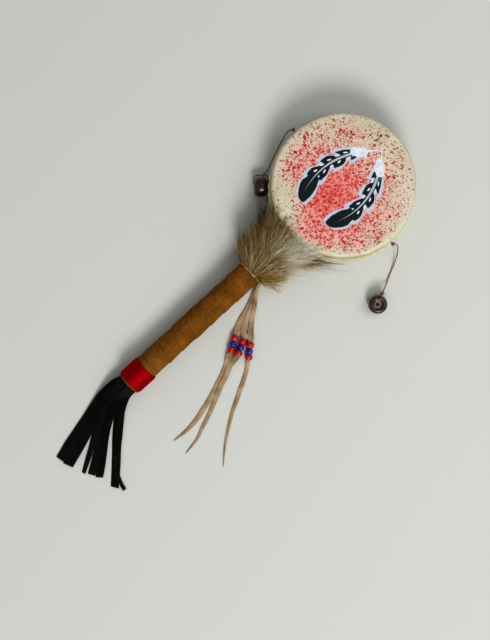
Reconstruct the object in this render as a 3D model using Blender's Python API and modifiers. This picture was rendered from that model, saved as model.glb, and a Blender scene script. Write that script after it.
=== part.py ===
# A two-sided twist drum on a suede-wrapped handle, lying on its lower head.
# Metres, +Z up. The origin is the middle of the lower head's underside. The handle leaves the
# drum's wall at the seam, runs along -X and droops until the binding at its butt meets the ground.

import math

import bmesh
import bpy
from mathutils import Matrix, Vector

MM = 0.001
GAP = 0.3 * MM  # air between pieces that touch
SKIM = 0.1 * MM  # air under the trimmings that lie on the ground

# Drum: two moulded rawhide shells whose lips meet at mid-height
DRUM_HEIGHT = 30.0 * MM
LIP_RADIUS = 50.0 * MM
LIP_THICKNESS = 1.1 * MM
LIP_WAVES = 13
LIP_WAVE_DEPTH = 0.3 * MM
WALL_RADIUS = 48.6 * MM
SHOULDER_RADIUS = 4.6 * MM
HIDE_THICKNESS = 1.6 * MM
SHELL_STEPS = 52
SEAM_HEIGHT = DRUM_HEIGHT / 2
NECK_CUT = 24.0 * MM  # length of the cutter that lets the handle in

# Handle: a stick wound with a suede strip, measured along its axis from the drum's lip
HANDLE_RADIUS = 8.9 * MM
HANDLE_STEPS = 20
HANDLE_INSIDE_DRUM = 8.0 * MM
WRAP_START = 26.0 * MM
WRAP_END = 127.0 * MM
WRAP_PITCH = 13.0 * MM
WRAP_STEP = 0.5 * MM  # how far each turn stands over the one before
BINDING_START = 131.5 * MM
BINDING_END = 146.7 * MM
BINDING_RADIUS = 9.65 * MM
BINDING_STEPS = 32
BUTT_END = 148.0 * MM
BUTT_RADIUS = 8.6 * MM
SOCKET_RADIUS = 7.4 * MM
SOCKET_DEPTH = 10.0 * MM
LUMP_HEIGHT = 0.2 * MM  # the strip is cut by hand and lies unevenly
LUMP_LENGTH = 30.0 * MM
DROOP = math.asin((SEAM_HEIGHT - BINDING_RADIUS) / BINDING_END)

# Black leather fringe: a roll in the butt, and strips that fall to the ground and fan out
ROLL_RADIUS = 7.1 * MM
ROLL_PROUD = 2.5 * MM  # how far it stands out of the butt
LEATHER_THICKNESS = 1.3 * MM
GATHER_CENTRE = Vector((-205.5, 0.4, 6.6)) * MM  # the leather is still bunched just past the butt
GATHER_SIZE = Vector((10.5, 7.8, 4.2)) * MM

# Fur collar round the neck
COLLAR_CENTRE = Vector((-66.0, 2.5, 15.6)) * MM
COLLAR_HALF_LENGTH = 21.0 * MM
COLLAR_HALF_WIDTH = 24.0 * MM
COLLAR_RISE = 15.5 * MM
COLLAR_DROP = 15.0 * MM
COLLAR_TAPER = 0.14  # how much its left side narrows towards the handle
LOCKS = 9
LOCK_ROWS = 1.4
LOCK_HEIGHT = 2.6 * MM
LOCK_REACH = 4.5 * MM
THONG_POCKET_CENTRE = Vector((-84.0, -9.6, 5.2)) * MM  # where the thongs come out from under the fur
THONG_POCKET_SIZE = Vector((14.0, 6.5, 7.0)) * MM

# Thongs and their glass beads
THONG_THICKNESS = 0.9 * MM
THONG_WIDTH = 3.4 * MM  # below the beads, before it tapers
THONG_LEAD = 2.3 * MM  # between the collar and the beads
THONG_NECK = 1.5 * MM  # its width where it is drawn through the beads
THONG_TIP = 0.2  # its width at the tip, as a share of the full width
THONG_TAPER = 0.3  # the share of its length over which it tapers
THONG_SPACING = 4.0 * MM  # between the points of a thong's line
RED_GLASS = (2.75 * MM, 4.1 * MM)  # radius and length of the outer beads
BLUE_GLASS = (2.4 * MM, 3.8 * MM)  # and of the one between them
GLASS_PITCH = (RED_GLASS[1] + BLUE_GLASS[1]) / 2 + GAP
GLASS_HOLE = 1.3 * MM
GLASS_STEPS = 10

# Wooden beaters on waxed cords
BEATER_RADIUS = 6.7 * MM
BEATER_LENGTH = 9.2 * MM
BEATER_HOLE = 1.9 * MM
BEATER_STEPS = 16
BEATER_TILT = math.radians(8)  # the flat one lies on its loop of cord
CORD_RADIUS = 0.45 * MM
CORD_SPACING = 2.3 * MM  # between the points of a cord's line
KNOT_RADIUS = 1.25 * MM
CORD_HOLE = 0.95 * MM
CORD_CUT = 8.0 * MM  # length of the cutter that makes a cord's hole in the wall
CORD_TAIL = 5.5 * MM  # from a seam knot's middle in through the wall
SEAM_KNOTS = {"left": math.radians(87), "right": math.radians(-90)}  # their places round the drum
LEFT_BEATER_TURN = math.radians(135.5)  # its place round the drum
LEFT_BEATER_REACH = 54.9 * MM  # from the drum's middle to the bead's
RIGHT_BEATER_PLACE = Vector((-34.2, -76.0, 5.45)) * MM
RIGHT_BEATER_HEADING = math.radians(27.5)


def linear(hex_colour):
    channels = [int(hex_colour[i : i + 2], 16) / 255 for i in (1, 3, 5)]
    return [c / 12.92 if c <= 0.04045 else ((c + 0.055) / 1.055) ** 2.4 for c in channels]


def material(name, hex_colour, roughness):
    made = bpy.data.materials.new(name)
    made.use_nodes = True
    shader = made.node_tree.nodes["Principled BSDF"]
    shader.inputs["Base Color"].default_value = (*linear(hex_colour), 1)
    shader.inputs["Roughness"].default_value = roughness
    shader.inputs["Metallic"].default_value = 0.0
    return made


def place(obj, collection, finish=None):
    collection.objects.link(obj)
    if finish:
        obj.data.materials.append(finish)
    return obj


def new_mesh_object(name, shape, collection, finish=None):
    mesh = bpy.data.meshes.new(name)
    shape.to_mesh(mesh)
    shape.free()
    return place(bpy.data.objects.new(name, mesh), collection, finish)


def turned(name, profile, steps, collection, finish=None, closed=False):
    """A profile of (radius, height) points that runs down its outer side, turned about local Z."""
    mesh = bpy.data.meshes.new(name)
    edges = [(i, i + 1) for i in range(len(profile) - 1)]
    if closed:
        edges.append((len(profile) - 1, 0))
    mesh.from_pydata([(r, 0, z) for r, z in profile], edges, [])
    obj = place(bpy.data.objects.new(name, mesh), collection, finish)
    screw = obj.modifiers.new("turn", "SCREW")
    screw.steps = steps
    screw.render_steps = steps
    screw.use_merge_vertices = True
    screw.merge_threshold = 0.00001
    return obj


def as_mesh(obj):
    """The same object with its modifiers, or its curve, turned into a plain welded mesh."""
    bpy.context.view_layer.update()
    evaluated = obj.evaluated_get(bpy.context.evaluated_depsgraph_get())
    mesh = bpy.data.meshes.new_from_object(evaluated)
    shape = bmesh.new()
    shape.from_mesh(mesh)
    bmesh.ops.remove_doubles(shape, verts=shape.verts, dist=0.000005)
    shape.to_mesh(mesh)
    shape.free()
    made = bpy.data.objects.new(obj.name, mesh)
    made.matrix_world = obj.matrix_world
    for collection in obj.users_collection:
        collection.objects.link(made)
    name = obj.name
    bpy.data.objects.remove(obj)
    made.name = name
    return made


def boolean(obj, other, operation):
    modifier = obj.modifiers.new(operation.lower(), "BOOLEAN")
    modifier.operation = operation
    modifier.object = other


def joined(base, others):
    """base and others as one solid, welded after each union."""
    for other in others:
        boolean(base, other, "UNION")
        base = as_mesh(base)
        bpy.data.objects.remove(other)
    return base


def round_cutter(name, radius, length, steps):
    """A cylinder along local Z, kept as a wire guide."""
    shape = bmesh.new()
    bmesh.ops.create_cone(
        shape, cap_ends=True, segments=steps, radius1=radius, radius2=radius, depth=length
    )
    return as_cutter(new_mesh_object(name, shape, cutters))


def as_cutter(obj):
    obj.hide_render = True
    obj.display_type = "WIRE"
    return obj


def shade_round(obj, degrees=40):
    obj.data.shade_smooth()
    obj.data.set_sharp_from_angle(angle=math.radians(degrees))


def arc(centre, radius, start, end, steps):
    """Points of (radius, height) on an arc, angles in degrees."""
    angles = [math.radians(start + (end - start) * i / steps) for i in range(steps + 1)]
    return [(centre[0] + radius * math.cos(a), centre[1] + radius * math.sin(a)) for a in angles]


def on_handle(distance, side=0.0, up=0.0):
    """The world point that lies so far from the drum's lip along the handle's axis."""
    along = Vector((-math.cos(DROOP), 0, -math.sin(DROOP)))
    above = Vector((-math.sin(DROOP), 0, math.cos(DROOP)))
    return Vector((-LIP_RADIUS, side, SEAM_HEIGHT)) + along * distance + above * up


def smooth_route(points, spacing):
    """A smooth curve through the points, read off at even spacing."""
    route = [Vector(p) * MM for p in points]
    route = [2 * route[0] - route[1], *route, 2 * route[-1] - route[-2]]
    fine = []
    steps = 16  # between one point of the route and the next
    for a, b, c, d in zip(route, route[1:], route[2:], route[3:]):
        for i in range(steps):
            t = i / steps
            fine.append(
                0.5
                * (2 * b + (c - a) * t + (2 * a - 5 * b + 4 * c - d) * t**2
                   + (3 * b - a - 3 * c + d) * t**3)
            )
    fine.append(route[-2])
    lengths = [0.0]
    for a, b in zip(fine, fine[1:]):
        lengths.append(lengths[-1] + (b - a).length)
    count = max(2, round(lengths[-1] / spacing))
    even = []
    k = 0
    for i in range(count + 1):
        want = lengths[-1] * i / count
        while k < len(fine) - 2 and lengths[k + 1] < want:
            k += 1
        share = (want - lengths[k]) / (lengths[k + 1] - lengths[k])
        even.append(fine[k].lerp(fine[k + 1], share))
    return even


def line_of(name, points, radii=None, tilt=0.0):
    curve = bpy.data.curves.new(name, "CURVE")
    curve.dimensions = "3D"
    curve.twist_mode = "Z_UP"
    spline = curve.splines.new("POLY")
    spline.points.add(len(points) - 1)
    for i, (point, middle) in enumerate(zip(spline.points, points)):
        point.co = (*middle, 1)
        point.tilt = tilt
        point.radius = radii[i] if radii else 1.0
    return curve


def tube(name, points, radius, collection, finish=None):
    curve = line_of(name, points)
    curve.bevel_depth = radius
    curve.bevel_resolution = 2
    curve.use_fill_caps = True
    return place(bpy.data.objects.new(name, curve), collection, finish)


def ribbon(name, points, widths, thickness, collection, finish=None):
    """A flat strip that lies level and follows the points, with a width at each."""
    widest = max(widths)
    curve = line_of(name, points, [w / widest for w in widths], math.radians(90))
    curve.extrude = widest / 2
    obj = place(bpy.data.objects.new(name, curve), collection, finish)
    solidify = obj.modifiers.new("thickness", "SOLIDIFY")
    solidify.thickness = thickness
    solidify.offset = 0.0
    return obj


def shell_profile():
    """The lower shell's section: down the outside from the inner floor's middle, over the lip."""
    inner_radius = WALL_RADIUS - HIDE_THICKNESS
    flat_radius = WALL_RADIUS - SHOULDER_RADIUS
    centre = (flat_radius, SHOULDER_RADIUS)
    top = SEAM_HEIGHT - GAP / 2
    inside = arc(centre, SHOULDER_RADIUS - HIDE_THICKNESS, -90, 0, 2)
    outside = arc(centre, SHOULDER_RADIUS, 0, -90, 3)
    lip = [
        (inner_radius, top),
        (LIP_RADIUS, top),
        (LIP_RADIUS, top - LIP_THICKNESS * 0.7),
        (WALL_RADIUS, top - LIP_THICKNESS * 2),
    ]
    return [(0, HIDE_THICKNESS), *inside, *lip, *outside, (0, 0)]


def wave_lip(obj):
    """The lip's free edge wanders in and out, as wet hide does when it is pressed and trimmed."""
    for vertex in obj.data.vertices:
        x, y, z = vertex.co
        radius = math.hypot(x, y)
        if radius > WALL_RADIUS + 0.5 * MM:
            turn = math.atan2(y, x)
            grown = 1 + LIP_WAVE_DEPTH / LIP_RADIUS * math.sin(LIP_WAVES * turn + math.sin(3 * turn))
            vertex.co = (x * grown, y * grown, z)


def drum_shell(name, finish, upper, holes):
    profile = shell_profile()
    if upper:
        profile = [(r, DRUM_HEIGHT - z) for r, z in reversed(profile)]
    shell = as_mesh(turned(name, profile, SHELL_STEPS, parts, finish))
    wave_lip(shell)
    for hole in holes:
        boolean(shell, hole, "DIFFERENCE")
    shade_round(shell)
    return shell


def drum():
    neck = round_cutter("neck_cutter", HANDLE_RADIUS + GAP, NECK_CUT, 28)
    neck.rotation_euler = (0, math.pi / 2 - DROOP, 0)
    neck.location = on_handle(0)
    cord_holes = []
    for side, turn in SEAM_KNOTS.items():
        hole = round_cutter(f"cord_hole_cutter_{side}", CORD_HOLE, CORD_CUT, 10)
        hole.rotation_euler = (0, math.pi / 2, turn)
        hole.location = (WALL_RADIUS * math.cos(turn), WALL_RADIUS * math.sin(turn), SEAM_HEIGHT)
        cord_holes.append(hole)
    drum_shell("lower_head", rawhide, False, [neck, *cord_holes])
    drum_shell("upper_head", painted_rawhide, True, [neck, *cord_holes])


def wrap_relief(distance, turn):
    """Radius of the wound suede at a distance along the handle: each turn laps over the next."""
    if not WRAP_START < distance < WRAP_END:
        return HANDLE_RADIUS - WRAP_STEP / 2
    phase = (distance / WRAP_PITCH + turn / math.tau) % 1.0
    lumps = LUMP_HEIGHT * math.sin(math.tau * distance / LUMP_LENGTH + 2.0) * math.cos(turn - 0.6)
    return HANDLE_RADIUS - WRAP_STEP * (0.5 - phase) + lumps


def handle(axis):
    """One solid: the wound stick, smooth under the collar and the binding, with a socket in its butt."""
    parts_per_turn = 3
    rings = round((WRAP_END - WRAP_START) / WRAP_PITCH * parts_per_turn)
    wound = [WRAP_START + (WRAP_END - WRAP_START) * i / rings for i in range(rings + 1)]
    profile = [(0, HANDLE_INSIDE_DRUM), (HANDLE_RADIUS, HANDLE_INSIDE_DRUM)]
    profile += [(HANDLE_RADIUS, -distance) for distance in wound]
    profile += [
        (BUTT_RADIUS, -BINDING_START),
        (BUTT_RADIUS, -BUTT_END),
        (SOCKET_RADIUS, -BUTT_END),
        (SOCKET_RADIUS, SOCKET_DEPTH - BUTT_END),
        (0, SOCKET_DEPTH - BUTT_END),
    ]
    stick = as_mesh(turned("handle", profile, HANDLE_STEPS, parts, suede))
    for vertex in stick.data.vertices:
        x, y, z = vertex.co
        radius = math.hypot(x, y)
        if radius > BUTT_RADIUS + 0.1 * MM:
            scale = wrap_relief(-z, math.atan2(y, x)) / radius
            vertex.co = (x * scale, y * scale, z)
    shade_round(stick, 60)
    stick.parent = axis


def binding(axis):
    """The floss wound round the butt, as one ring with rounded edges."""
    inside = BUTT_RADIUS + GAP
    edge = 0.45 * MM
    ring = turned(
        "red_binding",
        [
            (inside, -BINDING_START),
            (BINDING_RADIUS - edge, -BINDING_START),
            (BINDING_RADIUS, -BINDING_START - edge * 2),
            (BINDING_RADIUS, -BINDING_END + edge * 2),
            (BINDING_RADIUS - edge, -BINDING_END),
            (inside, -BINDING_END),
        ],
        BINDING_STEPS,
        parts,
        floss,
        closed=True,
    )
    ring.data.shade_smooth()
    ring.parent = axis


# Each strip of the fringe: its width in mm, then the points that its middle passes, from the roll
# to the tip
FRINGE_STRIPS = [
    (5.0, [(-198.8, 4.4, 9.5), (-206, 7.4, 6.8), (-219, 7.4, 3.0), (-236, 2.8, 1.1),
           (-271, -6.8, 0.8)]),
    (5.2, [(-198.8, 2.4, 12.4), (-207, 4.0, 9.8), (-221, 2.8, 4.6), (-238, -3.4, 1.8),
           (-268.5, -14.5, 0.8)]),
    (2.6, [(-198.8, 0.0, 11.0), (-206, 0.0, 8.0), (-220, -2.6, 3.0), (-238, -10.8, 1.0),
           (-264.5, -24.8, 0.8)]),
    (5.0, [(-198.8, -0.5, 9.0), (-206, -1.0, 6.0), (-219, -4.8, 2.2), (-236, -13.0, 0.9),
           (-261.4, -29.2, 0.8)]),
    (5.2, [(-198.8, -2.2, 12.4), (-207, -3.0, 9.8), (-218, -7.0, 4.0), (-234, -16.4, 1.4),
           (-258.5, -34.4, 0.8)]),
    (5.8, [(-198.8, -4.2, 9.5), (-205, -6.2, 7.8), (-214, -11.8, 3.6), (-229, -23.2, 1.0),
           (-255.2, -46.6, 0.8)]),
    (1.4, [(-242, -37.4, 0.9), (-246.6, -42.6, 0.9), (-250.2, -48.0, 0.9), (-251.6, -52.6, 0.9)]),
]


def fringe():
    """One piece of leather: the roll in the handle's socket and the strips cut from it."""
    start, end = BUTT_END - SOCKET_DEPTH + GAP, BUTT_END + ROLL_PROUD
    shape = bmesh.new()
    bmesh.ops.create_cone(
        shape, cap_ends=True, segments=18, radius1=ROLL_RADIUS, radius2=ROLL_RADIUS * 0.94,
        depth=end - start,
    )
    roll = new_mesh_object("leather_fringe", shape, parts, black_leather)
    roll.rotation_euler = (0, -math.pi / 2 - DROOP, 0)
    roll.location = on_handle((start + end) / 2)
    gathered = bmesh.new()
    bmesh.ops.create_uvsphere(gathered, u_segments=14, v_segments=8, radius=1.0)
    bmesh.ops.transform(
        gathered, verts=gathered.verts, matrix=Matrix.LocRotScale(GATHER_CENTRE, None, GATHER_SIZE)
    )
    strips = [new_mesh_object("gathered_leather", gathered, parts)]
    for number, (width, points) in enumerate(FRINGE_STRIPS):
        route = smooth_route(points, 7 * MM)
        widths = [width * MM] * len(route)
        strip = ribbon(f"strip_{number}", route, widths, LEATHER_THICKNESS, parts)
        strips.append(as_mesh(strip))
    shade_round(joined(roll, strips), 30)


def fur_collar():
    """A shaggy ring round the neck: locks run back along it, and its front fits the drum's wall."""
    shape = bmesh.new()
    bmesh.ops.create_uvsphere(shape, u_segments=36, v_segments=12, radius=1.0)
    for vertex in shape.verts:
        height, turn = -vertex.co.z, math.atan2(vertex.co.y, vertex.co.x)
        spread = (1 - abs(height) ** 3) ** 0.45 if abs(height) < 0.999 else 0.0
        crest = abs(math.sin(LOCKS * turn / 2 + 2.0 * height + 0.6 * math.sin(2 * turn))) ** 0.7
        shingle = (LOCK_ROWS * height + 0.4 * crest + 0.2 * math.sin(3 * turn)) % 1.0
        grown = spread * (1 + (crest + shingle - 0.9) * LOCK_HEIGHT / COLLAR_RISE)
        x = COLLAR_HALF_LENGTH * height - LOCK_REACH * crest * spread * max(0.0, -height)
        y = COLLAR_HALF_WIDTH * grown * math.cos(turn)
        if y > 0:
            y *= 1 - COLLAR_TAPER * max(0.0, -height)
        z = grown * math.sin(turn) * (COLLAR_RISE if math.sin(turn) > 0 else COLLAR_DROP)
        vertex.co = COLLAR_CENTRE + Vector((x, y, z))
        vertex.co.z = max(vertex.co.z, 4 * SKIM)
    bmesh.ops.recalc_face_normals(shape, faces=shape.faces)
    collar = new_mesh_object("fur_collar", shape, parts, fur)
    bore = round_cutter("collar_bore_cutter", HANDLE_RADIUS + 2 * GAP, 90 * MM, 24)
    bore.rotation_euler = (0, math.pi / 2 - DROOP, 0)
    bore.location = on_handle(20 * MM)
    clear = LIP_RADIUS + LIP_WAVE_DEPTH + GAP
    flat = WALL_RADIUS - SHOULDER_RADIUS + 1 * MM
    top = DRUM_HEIGHT + GAP
    drum_room = turned(
        "drum_room_cutter",
        [(0, top), (flat, top), (clear - 1 * MM, top - 4 * MM), (clear, top - 8 * MM),
         (clear, -5 * MM), (0, -5 * MM)],
        64,
        cutters,
    )
    as_cutter(drum_room)
    thong_room = bmesh.new()
    bmesh.ops.create_cube(thong_room, size=1.0)
    pocket = as_cutter(new_mesh_object("thong_room_cutter", thong_room, cutters))
    pocket.scale = THONG_POCKET_SIZE
    pocket.location = THONG_POCKET_CENTRE
    for cutter in (bore, drum_room, pocket):
        boolean(collar, cutter, "DIFFERENCE")
    shade_round(collar, 25)


# Each thong: the middle of its bead column, the direction it runs there in degrees, and the points
# that it passes before and after the beads, in mm
THONGS = {
    "left": (
        (-126.9, -28.5), 210,
        [(-78.5, -8.8, 4.0), (-86.5, -11.0, 2.6), (-96, -15.0, 0.9), (-108, -19.9, 0.7),
         (-116, -23.2, 1.2)],
        [(-141.4, -36.2, 0.6), (-155.0, -42.7, 0.6), (-172.5, -49.4, 0.6), (-183.3, -51.5, 0.6),
         (-194.2, -51.4, 0.6), (-203.8, -50.9, 0.6)],
    ),
    "middle": (
        (-124.5, -34.0), 205,
        [(-78.5, -9.0, 5.3), (-86.5, -12.0, 4.0), (-95, -16.8, 2.2), (-106, -23.4, 1.6),
         (-114, -28.2, 1.6)],
        [(-138.8, -40.4, 0.6), (-151.2, -46.6, 0.6), (-171.6, -54.2, 0.6), (-182.5, -58.3, 0.6),
         (-192.7, -61.4, 0.6), (-203.1, -62.8, 0.6)],
    ),
    "right": (
        (-121.8, -40.0), 220,
        [(-78.5, -9.2, 6.6), (-86.5, -13.2, 5.3), (-94.5, -18.8, 3.5), (-103, -25.4, 2.4),
         (-112, -32.4, 1.6)],
        [(-131.0, -47.6, 0.6), (-136.8, -51.3, 0.6), (-148.2, -57.5, 0.6), (-160.4, -64.1, 0.6),
         (-170.7, -71.0, 0.6), (-180.3, -78.3, 0.6), (-190.1, -87.4, 0.6)],
    ),
}


def thong(side, middle, degrees, before, after):
    """A tapering lace that is drawn through a column of three beads."""
    heading = Vector((math.cos(math.radians(degrees)), math.sin(math.radians(degrees)), 0))
    centre = Vector((middle[0], middle[1], (RED_GLASS[0] + SKIM) / MM))
    pitch = GLASS_PITCH / MM
    column = [centre + heading * pitch * step for step in (-2.2, -1.1, 0, 1.1, 2.2)]
    points = smooth_route([*before, *column, *after], THONG_SPACING)
    drawn_in = 1.5 * GLASS_PITCH + THONG_SPACING
    widths = []
    for i, point in enumerate(points):
        share = i / (len(points) - 1)
        width = THONG_WIDTH * min(1.0, THONG_TIP + (1 - THONG_TIP) * (1 - share) / THONG_TAPER)
        past_beads = (point - centre * MM).dot(heading)
        if abs(past_beads) < drawn_in:
            width = THONG_NECK
        elif past_beads < 0:
            width = THONG_LEAD
        widths.append(width)
    ribbon(f"thong_{side}", points, widths, THONG_THICKNESS, parts, thong_hide)
    glass = [(RED_GLASS, red_glass), (BLUE_GLASS, blue_glass), (RED_GLASS, red_glass)]
    for step, (size, finish) in zip((-1, 0, 1), glass):
        bead = glass_bead(f"thong_{side}_bead_{step + 2}", size, finish)
        bead.location = (centre + heading * pitch * step) * MM
        bead.rotation_euler = (0, math.pi / 2, math.radians(degrees))


def glass_bead(name, size, finish):
    """A pressed glass bead: a short, round-edged barrel with a hole along local Z."""
    radius, length = size
    half = length / 2
    rim = radius * 0.77
    bead = turned(
        name,
        [
            (GLASS_HOLE, half * 0.9),
            (rim, half),
            (radius, half * 0.42),
            (radius, -half * 0.42),
            (rim, -half),
            (GLASS_HOLE, -half * 0.9),
        ],
        GLASS_STEPS,
        parts,
        finish,
        closed=True,
    )
    bead.data.shade_smooth()
    return bead


def beater(name, matrix):
    """A turned wooden bead: a round-shouldered barrel with dished ends and a hole along local Z."""
    half = BEATER_LENGTH / 2
    upper = [
        (BEATER_HOLE, half * 0.84),
        (BEATER_RADIUS * 0.46, half * 0.88),
        (BEATER_RADIUS * 0.62, half),
        (BEATER_RADIUS * 0.88, half * 0.86),
        (BEATER_RADIUS, half * 0.45),
    ]
    profile = upper + [(r, -z) for r, z in reversed(upper)]
    bead = turned(name, profile, BEATER_STEPS, parts, dark_wood, closed=True)
    bead.data.shade_smooth()
    bead.matrix_world = matrix
    return bead


# The loop that holds a beater, in its own XZ plane in mm, from its knot over one end, through the
# hole and back under the other end
BEATER_LOOP = [
    (8.2, 0, 3.1), (7.4, 0, 4.5), (6.1, 0, 5.2), (4.4, 0, 5.35), (2.9, 0, 5.2), (1.7, 0, 4.6),
    (1.0, 0, 3.5), (0.7, 0, 1.8), (0.6, 0, 0), (0.7, 0, -1.8), (1.0, 0, -3.5), (1.7, 0, -4.6),
    (2.9, 0, -5.2), (4.4, 0, -5.35), (6.1, 0, -5.2), (7.4, 0, -4.4), (8.0, 0, -2.6), (8.2, 0, -0.1),
]
BEAD_KNOT = Vector((8.35, 0, 1.5)) * MM

# Both cords, in mm, from the knot at the seam to the knot at the beater
CORDS = {
    "left": [
        (1.4, 53.3, 15.1), (-3.0, 53.9, 14.4), (-9.7, 52.5, 13.0), (-14.2, 50.9, 12.3),
        (-18.9, 48.2, 11.6), (-23.0, 46.2, 10.8), (-27.0, 44.8, 9.6), (-30.3, 43.9, 7.8),
    ],
    "right": [
        (1.3, -53.2, 14.8), (3.4, -55.0, 12.8), (3.1, -57.4, 9.6), (0.8, -59.8, 6.2),
        (-3.2, -62.2, 3.0), (-8.0, -64.4, 1.1), (-13.0, -66.6, 0.6), (-17.7, -69.0, 1.4),
        (-21.8, -70.6, 3.9), (-25.4, -71.8, 6.6),
    ],
}


def beater_on_cord(side, matrix):
    beater(f"beater_{side}", matrix)
    loop = [matrix @ (Vector(p) * MM) / MM for p in BEATER_LOOP]
    tube(f"bead_loop_{side}", smooth_route(loop, 1.9 * MM), CORD_RADIUS, parts, waxed_cord)
    knot(f"bead_knot_{side}", matrix @ BEAD_KNOT)
    tube(f"cord_{side}", smooth_route(CORDS[side], CORD_SPACING), CORD_RADIUS, parts, waxed_cord)


def knot(name, centre):
    shape = bmesh.new()
    bmesh.ops.create_icosphere(shape, subdivisions=1, radius=KNOT_RADIUS)
    obj = new_mesh_object(name, shape, parts, waxed_cord)
    obj.location = centre
    obj.data.shade_smooth()


def seam_knot(side, turn):
    """The knot that sits outside the seam, with the cord's end that passes in through the wall."""
    crown = (0, KNOT_RADIUS)
    ball = arc((0, 0), KNOT_RADIUS, 52, -62, 3)
    tail = [(CORD_RADIUS * 1.2, -CORD_TAIL), (0, -CORD_TAIL)]
    obj = turned(f"seam_knot_{side}", [crown, *ball, *tail], 8, parts, waxed_cord)
    obj.data.shade_smooth()
    obj.rotation_euler = (0, math.pi / 2, turn)
    reach = LIP_RADIUS + KNOT_RADIUS + 2 * GAP
    obj.location = (reach * math.cos(turn), reach * math.sin(turn), SEAM_HEIGHT)


def beaters():
    """The left bead lies on its side with its knot by the wall; the right one lies flat on its loop."""
    outward = Vector((math.cos(LEFT_BEATER_TURN), math.sin(LEFT_BEATER_TURN), 0))
    towards_knot = Vector((outward.y, -outward.x, 0))
    left = Matrix((towards_knot, towards_knot.cross(outward), -outward)).transposed().to_4x4()
    left.translation = outward * LEFT_BEATER_REACH + Vector((0, 0, BEATER_RADIUS + SKIM))
    beater_on_cord("left", left)
    right = (
        Matrix.Translation(RIGHT_BEATER_PLACE)
        @ Matrix.Rotation(RIGHT_BEATER_HEADING, 4, "Z")
        @ Matrix.Rotation(-BEATER_TILT, 4, "Y")
    )
    beater_on_cord("right", right)
    for side, turn in SEAM_KNOTS.items():
        seam_knot(side, turn)


for old in list(bpy.data.objects):
    bpy.data.objects.remove(old)

parts = bpy.data.collections.new("twist_drum")
cutters = bpy.data.collections.new("cutters")
for collection in (parts, cutters):
    bpy.context.scene.collection.children.link(collection)

rawhide = material("rawhide", "#DCD3B2", 0.55)
painted_rawhide = material("painted_rawhide", "#D9BDA5", 0.5)
suede = material("suede", "#A9762E", 0.9)
floss = material("floss", "#BE0A1E", 0.35)
black_leather = material("black_leather", "#14130F", 0.55)
fur = material("fur", "#8F7F5C", 0.95)
thong_hide = material("thong_hide", "#C0A888", 0.8)
red_glass = material("red_glass", "#C8142A", 0.12)
blue_glass = material("blue_glass", "#2A2AA8", 0.12)
dark_wood = material("dark_wood", "#3A1F18", 0.3)
waxed_cord = material("waxed_cord", "#8E4A35", 0.5)

handle_axis = place(bpy.data.objects.new("handle_axis", None), parts)
handle_axis.location = on_handle(0)
handle_axis.rotation_euler = (0, math.pi / 2 - DROOP, 0)

drum()
handle(handle_axis)
binding(handle_axis)
fringe()
fur_collar()
for thong_side, (middle, degrees, before, after) in THONGS.items():
    thong(thong_side, middle, degrees, before, after)
beaters()
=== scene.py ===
from functools import partial
from math import asin, atan2, copysign, cos, hypot, pi, radians, sin, tau

import bmesh
import bpy
import numpy as np
from mathutils import Matrix, Vector
from mathutils.noise import noise


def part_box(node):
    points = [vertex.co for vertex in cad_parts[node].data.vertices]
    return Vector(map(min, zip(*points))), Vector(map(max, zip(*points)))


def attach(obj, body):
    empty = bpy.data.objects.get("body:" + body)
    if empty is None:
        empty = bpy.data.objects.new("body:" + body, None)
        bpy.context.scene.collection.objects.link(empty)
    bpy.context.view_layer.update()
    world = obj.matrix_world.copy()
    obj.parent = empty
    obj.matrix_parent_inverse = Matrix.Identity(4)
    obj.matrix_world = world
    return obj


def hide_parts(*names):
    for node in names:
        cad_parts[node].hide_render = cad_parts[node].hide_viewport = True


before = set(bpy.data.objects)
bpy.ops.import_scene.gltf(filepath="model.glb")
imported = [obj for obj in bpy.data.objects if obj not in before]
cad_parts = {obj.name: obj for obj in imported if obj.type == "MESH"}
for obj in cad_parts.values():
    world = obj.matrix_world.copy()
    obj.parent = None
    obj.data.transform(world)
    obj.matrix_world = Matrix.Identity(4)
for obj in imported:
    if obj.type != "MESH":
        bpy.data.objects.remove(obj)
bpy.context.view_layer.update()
mm = 0.001
print("packed model loaded")

# the setting that may be named after each kind of node
mainSetting = {
    "Math": "operation", "VectorMath": "operation", "MapRange": "interpolation_type", "Mix": "data_type",
    "TexVoronoi": "feature", "Mapping": "vector_type", "Attribute": "attribute_name",
}


def toLinear(hexColour):
    channels = [int(hexColour[i:i + 2], 16) / 255 for i in (1, 3, 5)]
    return (*[c / 12.92 if c <= 0.04045 else ((c + 0.055) / 1.055) ** 2.4 for c in channels], 1.0)


def feed(node, *inOrder, **byName):
    # an input takes a value, a hex colour, a socket, or a node for its first shown output
    shown = [socket for socket in node.inputs if socket.enabled]
    named = [(node.inputs[name.replace("_", " ")], value) for name, value in byName.items()]
    for socket, value in [*zip(shown, inOrder), *named]:
        if isinstance(value, str):
            value = toLinear(value)
        if isinstance(value, bpy.types.Node):
            value = next(s for s in value.outputs if s.enabled)
        if isinstance(value, bpy.types.NodeSocket):
            node.id_data.links.new(value, socket)
        else:
            socket.default_value = value
    return node


def addNode(tree, kind, *inOrder, **byName):
    # a kind may be followed by its setting; a ramp's stops or a curve's points come before its inputs
    kind, _, setting = kind.partition(" ")
    node = tree.nodes.new("ShaderNode" + kind)
    if setting:
        setattr(node, mainSetting[kind], setting)
    if kind == "ValToRGB":
        stops, *inOrder = inOrder
        ramp = node.color_ramp.elements
        while len(ramp) < len(stops):
            ramp.new(0.5)
        for element, (place, colour) in zip(ramp, stops):
            element.position, element.color = place, toLinear(colour)
    if kind == "FloatCurve":
        (first, *middle, last), *inOrder = inOrder
        points = node.mapping.curves[0].points
        points[0].location, points[1].location = first, last
        for point in middle:
            points.new(*point)
        node.mapping.update()
    return feed(node, *inOrder, **byName)


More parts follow.
